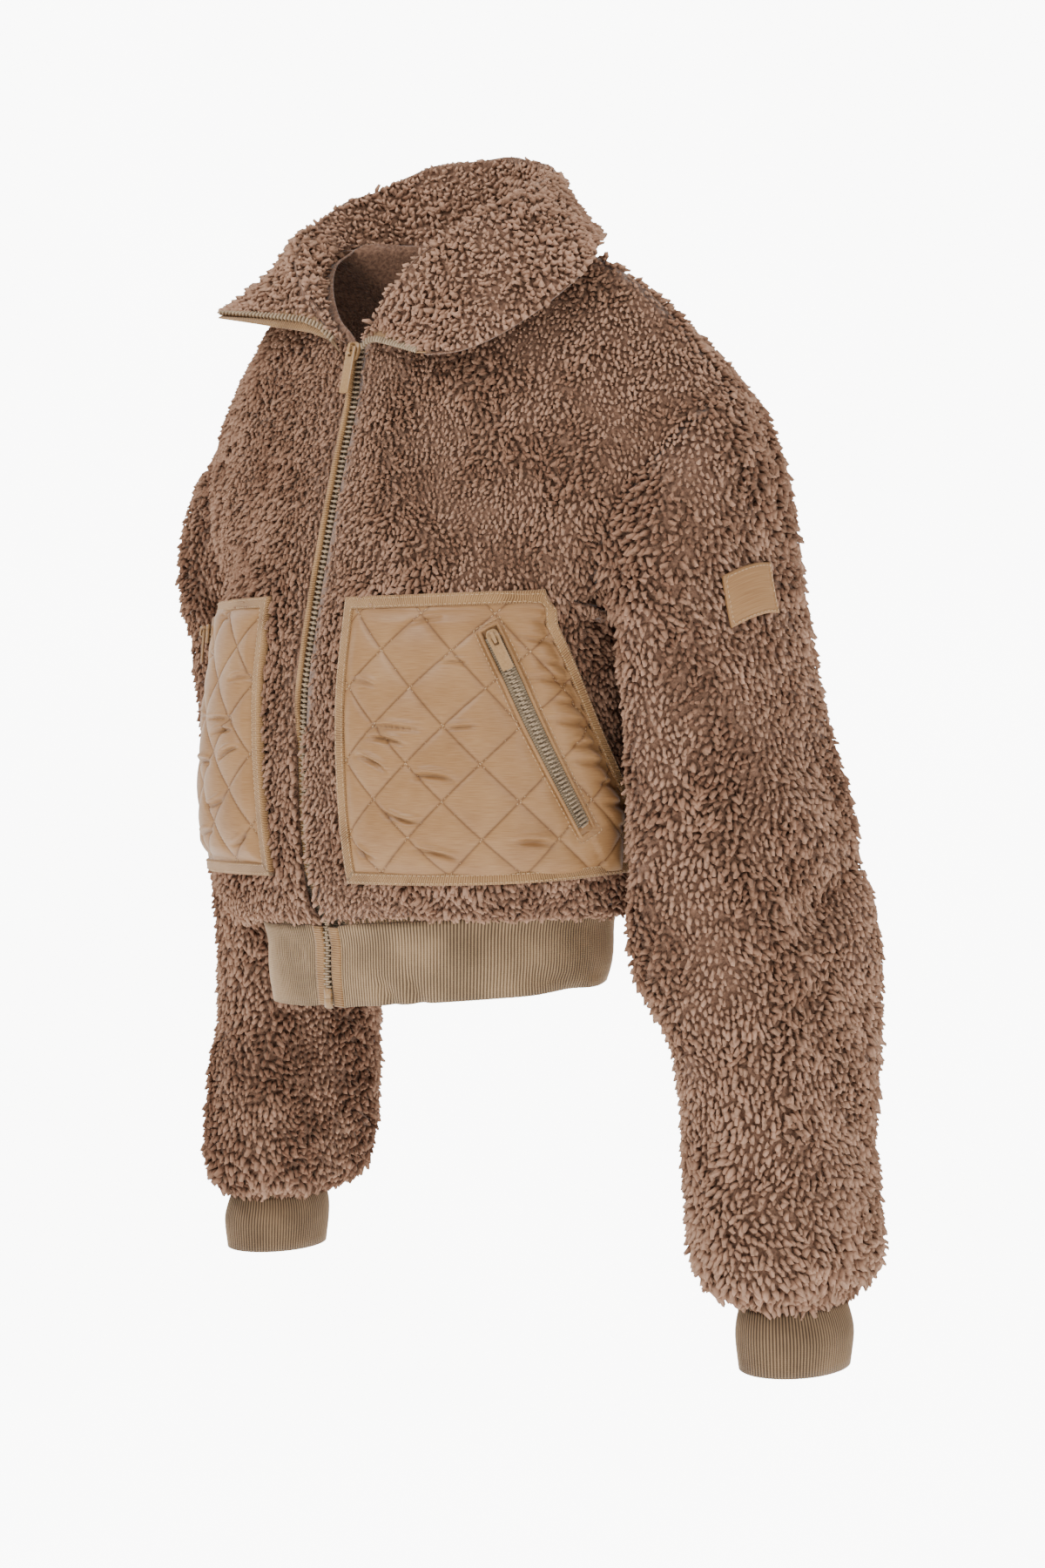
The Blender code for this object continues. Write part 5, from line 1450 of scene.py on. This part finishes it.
def pocket_height(place, s, z):
    """Height of the puffed panel over the pile's level."""
    a, b = diamond(s, z)
    puff = np.abs(np.sin(math.pi * a) * np.sin(math.pi * b)) ** 0.38
    inner, _ = place.pocket_edges(np.clip(z, POCKET_BOTTOM, POCKET_TOP))
    edge = np.minimum(place.pocket_edges(z)[1], place.reach(z))
    inside = np.min([s - inner - BINDING, edge - BINDING - s, z - POCKET_BOTTOM - BINDING,
                     POCKET_TOP - BINDING - z], axis=0)
    along, across = welt_place(s, z)
    beside = np.maximum(np.abs(across) - WELT_WIDTH / 2, np.maximum(-along, along - WELT_LENGTH))
    belly = np.clip(np.maximum(inside / 2.6, 1 - np.clip(beside / 0.8, 0, 1) - 0.5), 0, 1)
    rim = np.clip(inside / 0.8, 0, 1) * np.clip(beside / 0.7, 0, 1)
    folds = list(WRINKLES)
    for below, reach, half_width, depth in GATHERS:
        z0 = POCKET_TOP - below
        s0 = place.pocket_edges(z0)[1] - BINDING * 0.8
        folds.append((s0 - reach, z0 + 0.5, s0 + 0.7 * reach, z0 - 0.3, 0.1, half_width, 1.25 * depth))
    push = fold_push(np.stack([s, z], axis=-1), with_ridges(folds))
    share = np.clip(beside / (beside + inside.clip(0) + 0.01), 0, 1)
    swell = SWELL * (across > 0) * np.sin(math.pi * share) ** 0.6 * (inside > 0) * np.clip(along / 3, 0, 1)
    high = POCKET_RIM + POCKET_BELLY * np.sin(belly * math.pi / 2) + swell
    return high + PUFF[place.side] * puff * rim ** 0.6 + push * np.clip(rim * 3 + 0.5, 0, 1)


def wall_on(name, outer, inner, s, z, mat, side, closed=False, flat_back=False):
    """A wall on a front, turned the right way round on the wearer's right, with its map."""
    if side == "right":
        outer, inner, s, z = outer[:, ::-1], inner[:, ::-1], s[:, ::-1], z[:, ::-1]
    piece = wall_mesh(name, outer, inner, closed)
    map_grid(piece, s, z)
    if flat_back:
        thin_back(piece, outer.shape[0] * outer.shape[1])
    piece.data.materials.append(mat)
    return piece


def pocket_panel(place):
    """The quilted panel of one pocket, its inner layer flat on the pile's level."""
    u, v = np.linspace(0, 1, PANEL_COLS)[None], np.linspace(0, 1, PANEL_ROWS)[:, None]
    s, z = np.broadcast_arrays(*place.pocket_spot(u, v, 0.15))
    outer, _ = place.at(s, z, pocket_height(place, s, z))
    inner, _ = place.at(s, z, 0.02)
    piece = wall_on("pocket_panel_" + place.side, outer, inner, s, z, SATIN, place.side, flat_back=True)
    place_piece(piece, "quilted_satin", "pocket_" + place.side)
    print(piece.name, triangles(piece), "triangles")


def rim_line(place, inset):
    """The pocket's outline drawn in by the inset, as a closed run of (distance, height)."""
    t = np.linspace(0, 1, 70, endpoint=False)
    u, v = np.concatenate([t, 1 + 0 * t, 1 - t, 0 * t]), np.concatenate([0 * t, t, 1 + 0 * t, 1 - t])
    return place.pocket_spot(u, v, inset)


def round_outline(place, rims, profile):
    """Distance and height of a strip's rows round an outline, and the places at its profile's lift."""
    s, z = np.array([r[0] for r in rims]), np.array([r[1] for r in rims])
    lift = np.array([high for _, high in profile])[:, None] + 0 * s
    return s, z, lift, place.at(s, z, lift)[0]


TAPE_PROFILE = [  # in from the pocket's edge, height over the pile's level
    (-0.12, -0.34), (-0.15, -0.06), (-0.13, 0.18), (-0.07, 0.27), (0.04, 0.30), (0.30, 0.30), (0.52, 0.28),
    (0.62, 0.25), (0.65, 0.14)]


def pocket_binding(place):
    """The tape folded over the pocket's edge, all round, with its outer side down in the pile."""
    rims = [rim_line(place, inset) for inset, _ in TAPE_PROFILE]
    s, z, lift, outer = round_outline(place, rims, TAPE_PROFILE)
    inner, _ = place.at(s, z, lift - 0.09)
    inner[0] = outer[0] + (inner[2] - outer[2]) * 0.2
    u = np.broadcast_to(running(outer[4]), s.shape)
    v = np.broadcast_to(np.arange(len(rims))[:, None] * 0.1, s.shape)
    piece = wall_on("pocket_tape_" + place.side, outer, inner, u, v, TAPE, place.side, True)
    place_piece(piece, "twill_tape", "pocket_binding_" + place.side)
    remember_sheet("pocket_tape_" + place.side, piece, outer, True)


for place in FRONTS.values():
    pocket_panel(place)
    pocket_binding(place)


# %% Stitches of the pockets
def sewn_rim(place, s, z, lift):
    """Points and ways out for stitches all round an outline on a front."""
    return place.at(np.append(s, s[0]), np.append(z, z[0]), lift)


def quilt_seams(place):
    """The diamond seams, cut off where they meet the binding or the slanted zip."""
    seams = []
    for which in (0, 1):
        for k in range(-9, 10):
            z = np.linspace(POCKET_TOP - BINDING, POCKET_BOTTOM + BINDING, 90)
            b = (z - DIAMOND_AT[1]) / DIAMOND_TALL
            s = DIAMOND_AT[0] + DIAMOND_WIDE * (k - b if which == 0 else k + b)
            inner, edge = place.pocket_edges(z)
            along, across = welt_place(s, z)
            clear = (np.abs(across) > WELT_WIDTH / 2) | (along < 0) | (along > WELT_LENGTH)
            good = (s > inner + BINDING) & (s < np.minimum(edge, place.reach(z)) - BINDING) & clear
            for part in np.split(np.arange(len(z)), np.where(np.diff(good.astype(int)) != 0)[0] + 1):
                if good[part[0]] and len(part) > 5:
                    lift = pocket_height(place, s[part], z[part]) + 0.01
                    seams.append(place.at(s[part], z[part], lift))
    return seams


for place in FRONTS.values():
    rows = quilt_seams(place)
    for inset, high in ((0.06, 0.30), (0.55, 0.275)):
        rows.append(sewn_rim(place, *rim_line(place, inset), high))
    stitches = repeat_along("pocket_stitches_" + place.side, rows, STITCH, STITCH_STEP, THREAD)
    place_piece(stitches, "twill_tape")

# %% [markdown]
# ## Zips
#
# A moulded zip has one row of teeth on each tape. Closed, the rows mesh: each tooth of one side lies
# between two of the other. The main zip runs behind the pile's edges from the hem to the foot of the
# collar, and opens there, each row running on along its own edge of the collar. The pockets have a
# smaller zip in a satin welt.

# %% Zip materials
def plastic_material():
    """Moulded acetal teeth, slightly glossy, greyish beige."""
    mat, tree, shader = new_material("moulded_acetal_teeth", Roughness=0.5, Specular_IOR_Level=0.35)
    place = node(tree, "ShaderNodeTexCoord").outputs["Object"]
    slow = node(tree, "ShaderNodeTexNoise", {"Scale": 160.0, "Detail": 1.0}, {"Vector": place})
    dress(tree, shader, node(tree, "ShaderNodeValToRGB", links={"Fac": slow.outputs["Fac"]}, stops=[
        (0.3, "#96826A"), (0.7, "#AE987C")]).outputs["Color"])
    return mat


def painted_metal():
    """Die-cast zinc slider and pull under a matt tan paint."""
    mat, tree, shader = new_material("matt_painted_zinc", Roughness=0.36, Specular_IOR_Level=0.5)
    place = node(tree, "ShaderNodeTexCoord").outputs["Object"]
    grain = node(tree, "ShaderNodeTexNoise", {"Scale": 900.0, "Detail": 2.0}, {"Vector": place})
    colour = node(tree, "ShaderNodeValToRGB", links={"Fac": grain.outputs["Fac"]}, stops=[
        (0.3, "#937048"), (0.7, "#A5825A")]).outputs["Color"]
    dress(tree, shader, colour, grain.outputs["Fac"], 0.08, 0.0002)
    return mat


TEETH, METAL = plastic_material(), painted_metal()


TOOTH = [  # place along the tooth, half width, low, high
    (-0.30, 0.045, -0.10, 0.10), (-0.26, 0.060, -0.14, 0.14), (-0.04, 0.058, -0.14, 0.14),
    (0.02, 0.080, -0.13, 0.13), (0.09, 0.075, -0.12, 0.12), (0.12, 0.040, -0.07, 0.07)]
STOP = [
    (-0.05, 0.20, -0.12, 0.14), (0.0, 0.30, -0.16, 0.20), (0.62, 0.30, -0.16, 0.20),
    (0.68, 0.20, -0.12, 0.14)]


def tooth(scale, side):
    """One tooth: a foot clamped on the tape and a rounded head that reaches over the middle."""
    shape = block("tooth", TOOTH, 6)
    points = np.array([v.co for v in shape.data.vertices]) * scale
    turned = np.stack([points[:, 1], -points[:, 0] * side, points[:, 2]], axis=1)
    shape.data.vertices.foreach_set("co", turned.ravel())
    if side > 0:
        shape.data.flip_normals()
    shape.data.update()
    return shape


# %% Main zip
TOOTH_STEP = 0.34
ZIP_POINTS = 160        # points along the zip's line
ACROSS = np.array([1.0, 0.0, 0.0])


def zip_line(panel, panel_n, hem):
    """The zip's line on the centre plane: up the hem band, then behind the fleece, and its normals."""
    flat = np.array([0, 1.0, 1.0])
    rows = slice(2, ROWS - NECK_ROWS + 1)
    behind = (panel - panel_n * (FLEECE_WALL + 0.16))[rows, 0] * flat
    low = hem[:, 0] * flat
    low[:, 1] += RIB_WALL + np.linspace(0.20, 0.54, len(low))
    line = np.vstack([low, behind])
    way = np.gradient(line, axis=0)
    out = np.stack([0 * way[:, 0], -way[:, 2], way[:, 1]], axis=1)
    return resample(line, ZIP_POINTS), unit(resample(unit(out), ZIP_POINTS))


zip_path, zip_out = zip_line(front, sewn_normals([front], [False])[0], hem)


def strip(name, path, across, out, near, far, low, high, mat, node_name=None, folded=False):
    """A tape along a line, from one offset across it to another; a folded one is as high as it is cut."""
    if np.sum(np.cross(np.gradient(path, axis=0), across) * out) > 0:
        across, near, far = -across, -far, -near
    offset = np.linspace(near, far, 5)
    outer = path[:, None] + across[:, None] * offset[:, None] + out[:, None] * high
    piece = wall_mesh(name, outer, outer - out[:, None] * (high - low))
    run = running(path)
    map_grid(piece, np.broadcast_to(run[:, None], outer.shape[:2]),
             np.broadcast_to(offset[None], outer.shape[:2]))
    piece.data.materials.append(mat)
    place_piece(piece, "twill_tape", *([node_name] if node_name else []))
    remember_sheet(name, piece, outer, flat=(0.0105, run[-1] * CM) if folded else None)
    return piece


ABOVE_HEM = int(ZIP_POINTS * 0.16)      # where the guard ends
SIDEWAYS = np.repeat(ACROSS[None], len(zip_path), axis=0)
for name, near, far, low, high, mat, node_name, first in (
        ("tape_left", 0.02, 1.25, 0.0, 0.08, ZIP_TAPE, "zip_tape_left", 0),
        ("tape_right", -1.25, -0.02, 0.0, 0.08, ZIP_TAPE, "zip_tape_right", 0),
        ("guard_strip", -1.5, 0.9, -0.15, -0.03, TAPE, "zip_guard", ABOVE_HEM),
        ("guard_edge", -0.66, -0.38, 0.11, 0.60, TAPE, "zip_guard_edge", ABOVE_HEM)):
    sunk = np.clip((-33.0 - zip_path[first:, 2]) / 2.5, 0, 1) * (0.40 if name == "guard_edge" else 0)
    strip(name, zip_path[first:] - zip_out[first:] * sunk[:, None], SIDEWAYS[first:], zip_out[first:],
          near, far, low, high, mat, node_name, folded=name == "guard_edge")


def teeth_row(path, heads, out, start, step, scale=1.0):
    """A row of teeth whose heads point the given way, the first one a share of a step along."""
    side = -np.sign(np.sum(np.cross(out, np.gradient(path, axis=0)) * heads))
    count = int(running(path)[-1] / step * 6)
    fine_path, fine_out = resample(path, count), resample(out, count)
    shape, first = tooth(scale, side), int(6 * start)
    made = repeat_along("teeth_row", [(fine_path[first:], fine_out[first:])], shape, step, TEETH)
    bpy.data.objects.remove(shape, do_unlink=True)
    return made


def joined(name, pieces):
    """Several pieces as one mesh."""
    with bpy.context.temp_override(active_object=pieces[0], selected_editable_objects=pieces):
        bpy.ops.object.join()
    pieces[0].name = name
    pieces[0].data.name = name
    return pieces[0]


in_hem = np.clip((-46.6 - zip_path[:, 2:]) / 1.2, 0, 1)
chain = zip_path + zip_out * (0.30 + 0.38 * in_hem)
teeth = [teeth_row(chain, SIDEWAYS * side, zip_out, start, TOOTH_STEP)
         for side, start in ((-1, 0), (1, 0.5))]
stop = [repeat_along("zip_stop", [(chain[:3], zip_out[:3])], block("stop", STOP, 6), 50.0, METAL)]
place_piece(joined("main_zip_teeth", teeth + stop), "zip_teeth", "zip_teeth")

# %% The hem's finishing tapes
band = hem[:, 0] * np.array([0, 1.0, 1.0])
band[-1, 2] -= 0.10
band_path = resample(band, 24)
band_out = np.repeat(np.array([[0, -1.0, 0]]), len(band_path), axis=0)
for side, sign in (("left", 1), ("right", -1)):
    strip("hem_finish_" + side, band_path, SIDEWAYS[:len(band_path)] * sign, band_out,
          0.32, HEM_EDGE - SEAM_GAP, -RIB_WALL, 0.02, TAPE, "hem_tape_" + side, folded=True)

# %% [markdown]
# ### The zip's open ends
#
# Above the slider each tape runs on along its own front edge of the collar, with its row of teeth
# beyond the edge. As the collar is rolled out, one sees the tape's inner side and the teeth on it. The
# wearer's right side also shows the guard.

# %% Collar ends
COLLAR_STRIPS = {  # out from the edge, height over the collar's face
    "tape": (-0.42, 0.66, -0.40, -0.32), "guard": (0.20, 1.75, -0.56, -0.46)}
COLLAR_TEETH = (0.72, -0.22)    # line of the teeth's heads out from the edge, and its height
collar_way = sewn_normals([collar], [False])[0]

for side, column, inward in (("left", -1, -2), ("right", 0, 1)):
    edge, out = resample(collar[1:, column], 60), resample(collar_way[1:, column], 60)
    away, out = unit(edge - resample(collar[1:, inward], 60)), unit(out)
    for part in ("tape", "guard")[:1 if side == "left" else 2]:
        near, far, low, high = COLLAR_STRIPS[part]
        strip(f"collar_{part}_{side}", edge, away, out, near, far, low, high, TAPE,
              f"collar_zip_{side}_{part}")
    row = teeth_row(edge + away * COLLAR_TEETH[0] + out * COLLAR_TEETH[1], away, out, 0.5, TOOTH_STEP)
    row.name = "collar_teeth_" + side
    place_piece(row, "zip_teeth", f"collar_zip_{side}_teeth")

# %% [markdown]
# ### Pocket zips
#
# The opening of a pocket is a slot with narrow folded lips of the same satin, sewn round once. The
# zip lies a little lower in the slot.

# %% Welts and pocket zips
LIP_PROFILE = [  # out from the slot's middle line, height over the pile's level
    (0.47, 0.30), (0.47, 0.50), (0.51, 0.58), (0.59, 0.60), (0.67, 0.56), (0.70, 0.48), (0.71, 0.28)]


def welt_spots(along, across):
    """(distance, height) on the front for places along and across the slot."""
    spots = WELT_TOP + WELT_WAY * np.asarray(along)[..., None] + WELT_SIDE * np.asarray(across)[..., None]
    return spots[..., 0], spots[..., 1]


def slot_rim(out):
    """The slot's outline the given distance out from its middle line."""
    t, u = np.linspace(0, 1, 36, endpoint=False), np.linspace(0, 1, 5, endpoint=False)
    start, end = 0.32 - out, WELT_LENGTH - 0.32 + out
    run = (end - start) * t
    along = np.concatenate([start + run, end + 0 * u, end - run, start + 0 * u])
    across = np.concatenate([out + 0 * t, out - 2 * out * u, -out + 0 * t, -out + 2 * out * u])
    return welt_spots(along, across)


for place in FRONTS.values():
    s, z, lift, outer = round_outline(place, [slot_rim(out) for out, _ in LIP_PROFILE], LIP_PROFILE)
    inner, _ = place.at(s, z, np.minimum(lift - 0.08, 0.5))
    piece = wall_on("pocket_lips_" + place.side, outer, inner, s, z, PLAIN_SATIN, place.side, closed=True)
    place_piece(piece, "quilted_satin", "pocket_welt_" + place.side)
    remember_sheet("pocket_lips_" + place.side, piece, outer, True, flat=(2 * WELT_LENGTH * CM, 0.0115))
    t = np.linspace(0.35, WELT_LENGTH - 0.35, 60)
    path, out = place.at(*welt_spots(t, 0 * t), 0.40)
    across = place.at(*welt_spots(t, 0 * t + 0.2), 0.40)[0] - path
    across = unit(across)
    strip("pocket_zip_tape_" + place.side, path, across, out, -0.55, 0.55, 0.0, 0.07, ZIP_TAPE)
    rows = [teeth_row(path + out * 0.17, across * side, out, start, 0.29, 0.95)
            for side, start in ((-1, 0), (1, 0.5))]
    place_piece(joined("pocket_zip_teeth_" + place.side, rows), "zip_teeth", "pocket_teeth_" + place.side)
    s, z = slot_rim(0.86)
    lift = pocket_height(place, s, z) + 0.01
    seam = sewn_rim(place, s, z, np.append(lift, lift[0]))
    place_piece(repeat_along("welt_stitches_" + place.side, [seam], STITCH, STITCH_STEP, THREAD),
                "twill_tape")

# %% [markdown]
# ## The patch on the sleeve
#
# A small square of the pockets' satin with its edges turned under lies on the pile of the upper
# sleeve, sewn on close to its edge. It is bare.

# %% Sleeve patch
PATCH_PROFILE = [(1.0, 0.02), (1.0, 0.14), (0.97, 0.20), (0.88, 0.21), (0.84, 0.18), (0.80, 0.20)]


def on_sleeve(r, c):
    """Places and outward ways on the left sleeve between the points of its fine grid."""
    a, b = np.asarray(r) * FINE, np.asarray(c) * SLEEVE_FINE
    return blended(PANELS["sleeve_left"], a, b), unit(blended(WAYS["sleeve_left"], a, b))


def patch_layers():
    """The patch's two layers as grids whose outer rows and columns are its turned edge."""
    shares = [p for p, _ in PATCH_PROFILE]
    steps = np.array([-p for p in shares] + list(np.linspace(-0.7, 0.7, 8)) + shares[::-1])
    r, c = np.meshgrid(PATCH_ROW + PATCH_ROWS * steps, PATCH_COL + PATCH_COLS * steps, indexing="ij")
    lifts = np.array([h for _, h in PATCH_PROFILE] + [0.205] * 8 + [h for _, h in PATCH_PROFILE][::-1])
    lift = np.minimum(lifts[:, None], lifts[None])
    places, ways = on_sleeve(r, c)
    ways = ways * 0.4 + np.mean(ways, axis=(0, 1)) * 0.6        # stiff cloth: nearly flat
    return places + ways * lift[..., None], places + ways * 0.01


outer, inner = patch_layers()
cross = np.cross(outer[1:, :-1] - outer[:-1, :-1], outer[:-1, 1:] - outer[:-1, :-1]).mean(axis=(0, 1))
if cross @ (outer - inner).mean(axis=(0, 1)) > 0:
    outer, inner = outer[:, ::-1], inner[:, ::-1]
patch = wall_mesh("sleeve_patch_cloth", outer, inner)
steps = np.linspace(0, 3.3, outer.shape[0])
map_grid(patch, *np.meshgrid(steps, steps))
patch.data.materials.append(PLAIN_SATIN)
place_piece(patch, "twill_tape", "sleeve_patch")
remember_sheet("sleeve_patch", patch, outer)
t = np.linspace(-0.9, 0.9, 20)
rim_r = np.concatenate([t, 0.9 + 0 * t, -t, -0.9 + 0 * t])
rim_c = np.concatenate([-0.9 + 0 * t, t, 0.9 + 0 * t, -t])
places, ways = on_sleeve(PATCH_ROW + PATCH_ROWS * rim_r, PATCH_COL + PATCH_COLS * rim_c)
seam = [(places + ways * 0.215, ways)]
place_piece(repeat_along("patch_stitches", seam, STITCH, STITCH_STEP, THREAD), "twill_tape")

# %% [markdown]
# ### Sliders and pulls
#
# The construction model has each slider, its bridge and its pull as plain plates. Real ones are cast,
# with rounded edges. Each is copied, its flat faces joined again and its edges rounded, and the pull
# rides on its own body, which swings on the bridge.

# %% Rounded metal
def cast_piece(node_name, body, round_by):
    """A copy of a plain metal solid with its edges rounded."""
    source = frame["nodes"][node_name]
    mesh = source.data.copy()
    mesh.transform(source.matrix_world)
    piece = new_object(node_name + "_cast", mesh)
    mesh.materials.clear()
    mesh.materials.append(METAL)
    weld = piece.modifiers.new("weld", "WELD")
    weld.merge_threshold = 0.00002
    flat = piece.modifiers.new("flat", "DECIMATE")
    flat.decimate_type, flat.angle_limit = "DISSOLVE", math.radians(2)
    bevel = piece.modifiers.new("round", "BEVEL")
    bevel.width, bevel.segments, bevel.limit_method = round_by * CM, 2, "ANGLE"
    bevel.angle_limit = math.radians(30)
    made = evaluated_mesh(node_name + "_metal", piece)
    bpy.data.objects.remove(piece, do_unlink=True)
    made.data.polygons.foreach_set("use_smooth", [True] * len(made.data.polygons))
    made.data.set_sharp_from_angle(angle=math.radians(50))
    place_piece(made, "zip_metal", node_name, body=body)
    return made


BODY_OF = {n: b for b, names in frame["record"]["behaviour"]["bodies"].items() for n in names}
for zip_name in ("zip", "pocket_zip_left", "pocket_zip_right"):
    for part, round_by in (("slider", 0.07), ("bridge", 0.035), ("pull", 0.035)):
        cast_piece(f"{zip_name}_{part}", BODY_OF[f"{zip_name}_{part}"], round_by)

# %% [markdown]

# %% [markdown]
# ## Floor, light and camera
#
# The picture is a studio one: a pale sweep, a large soft light on the camera's left, a second one on
# its right, and light from all round. The camera is level and looks at the jacket's left front from
# 45 degrees, with its film shifted so that the jacket sits in the frame.

# %% Pale sweep
SWEEP_LOW, SWEEP_BACK, SWEEP_HALF, SWEEP_ROUND = -1.55, 3.2, 6.0, 1.2
TO_CAMERA = np.array([math.sin(math.radians(45)), -math.cos(math.radians(45)), 0.0])
ACROSS_VIEW = np.array([-TO_CAMERA[1], TO_CAMERA[0], 0.0])


def sweep():
    """A floor that curves up into a wall behind the jacket."""
    profile = [(-4.5, SWEEP_LOW), (SWEEP_BACK - SWEEP_ROUND, SWEEP_LOW)]
    for k in range(1, 13):
        a = math.pi / 2 * k / 12
        profile.append((SWEEP_BACK - SWEEP_ROUND + SWEEP_ROUND * math.sin(a),
                        SWEEP_LOW + SWEEP_ROUND * (1 - math.cos(a))))
    profile.append((SWEEP_BACK, 4.0))
    up = np.array([0, 0, 1.0])
    grid = np.array([[-TO_CAMERA * d + ACROSS_VIEW * w + up * z for w in (-SWEEP_HALF, SWEEP_HALF)]
                     for d, z in profile]) / CM
    piece = sheet_mesh("studio_sweep", grid)
    mat, tree, shader = new_material("painted_studio_wall", Roughness=0.9)
    place = node(tree, "ShaderNodeTexCoord").outputs["Object"]
    grain = node(tree, "ShaderNodeTexNoise", {"Scale": 2.0, "Detail": 2.0}, {"Vector": place})
    colour = node(tree, "ShaderNodeValToRGB", links={"Fac": grain.outputs["Fac"]}, stops=[
        (0.3, "#F8F8F7"), (0.7, "#FCFCFB")]).outputs["Color"]
    dress(tree, shader, colour)
    tree.links.new(colour, shader.inputs["Emission Color"])
    seen = node(tree, "ShaderNodeLightPath").outputs["Is Camera Ray"]
    glow = node(tree, "ShaderNodeMath", {1: 7.5, 2: 1.1}, {0: seen}, operation="MULTIPLY_ADD")
    tree.links.new(glow.outputs[0], shader.inputs["Emission Strength"])
    piece.data.materials.append(mat)
    return piece


sweep()

# %% Soft lights
LIGHTS_AIM = Vector((0, 0, -0.35))      # a point inside the jacket


def soft_light(name, place, size, watts):
    """A square area light that faces the jacket."""
    lamp = bpy.data.lights.new(name, "AREA")
    lamp.shape, lamp.size, lamp.energy = "SQUARE", size, watts
    light = new_object(name, lamp)
    light.location = place
    light.rotation_euler = (LIGHTS_AIM - Vector(place)).to_track_quat("-Z", "Y").to_euler()


soft_light("key_light", (-0.5, -2.7, 2.0), 1.0, 88)
soft_light("fill_light", (3.0, -0.6, 0.8), 1.6, 44)
soft_light("top_light", (0.2, 0.0, 2.4), 1.4, 24)
soft_light("rim_light", (-1.8, 2.2, 0.9), 1.4, 22)

world = bpy.data.worlds.new("studio")
bpy.context.scene.world = world
world.use_nodes = True
world.node_tree.nodes["Background"].inputs["Color"].default_value = hex_colour("#F7F6F5")
world.node_tree.nodes["Background"].inputs["Strength"].default_value = 0.6

# %% Camera
CAMERA_AWAY = 2.05      # metres from the jacket's axis
CAMERA_SIDE = 0.072     # to the right of it, as the camera sees
CAMERA_HIGH = -0.247
camera_data = bpy.data.cameras.new("camera")
camera_data.sensor_width, camera_data.lens = 36.0, 69.7         # millimetres
camera_data.shift_y = -235 / 1800       # the film's shift, in heights of the picture
camera = new_object("camera", camera_data)
camera.location = TO_CAMERA * CAMERA_AWAY + ACROSS_VIEW * CAMERA_SIDE + np.array([0, 0, CAMERA_HIGH])
camera.rotation_euler = (math.radians(90), 0, math.radians(45))
bpy.context.scene.camera = camera
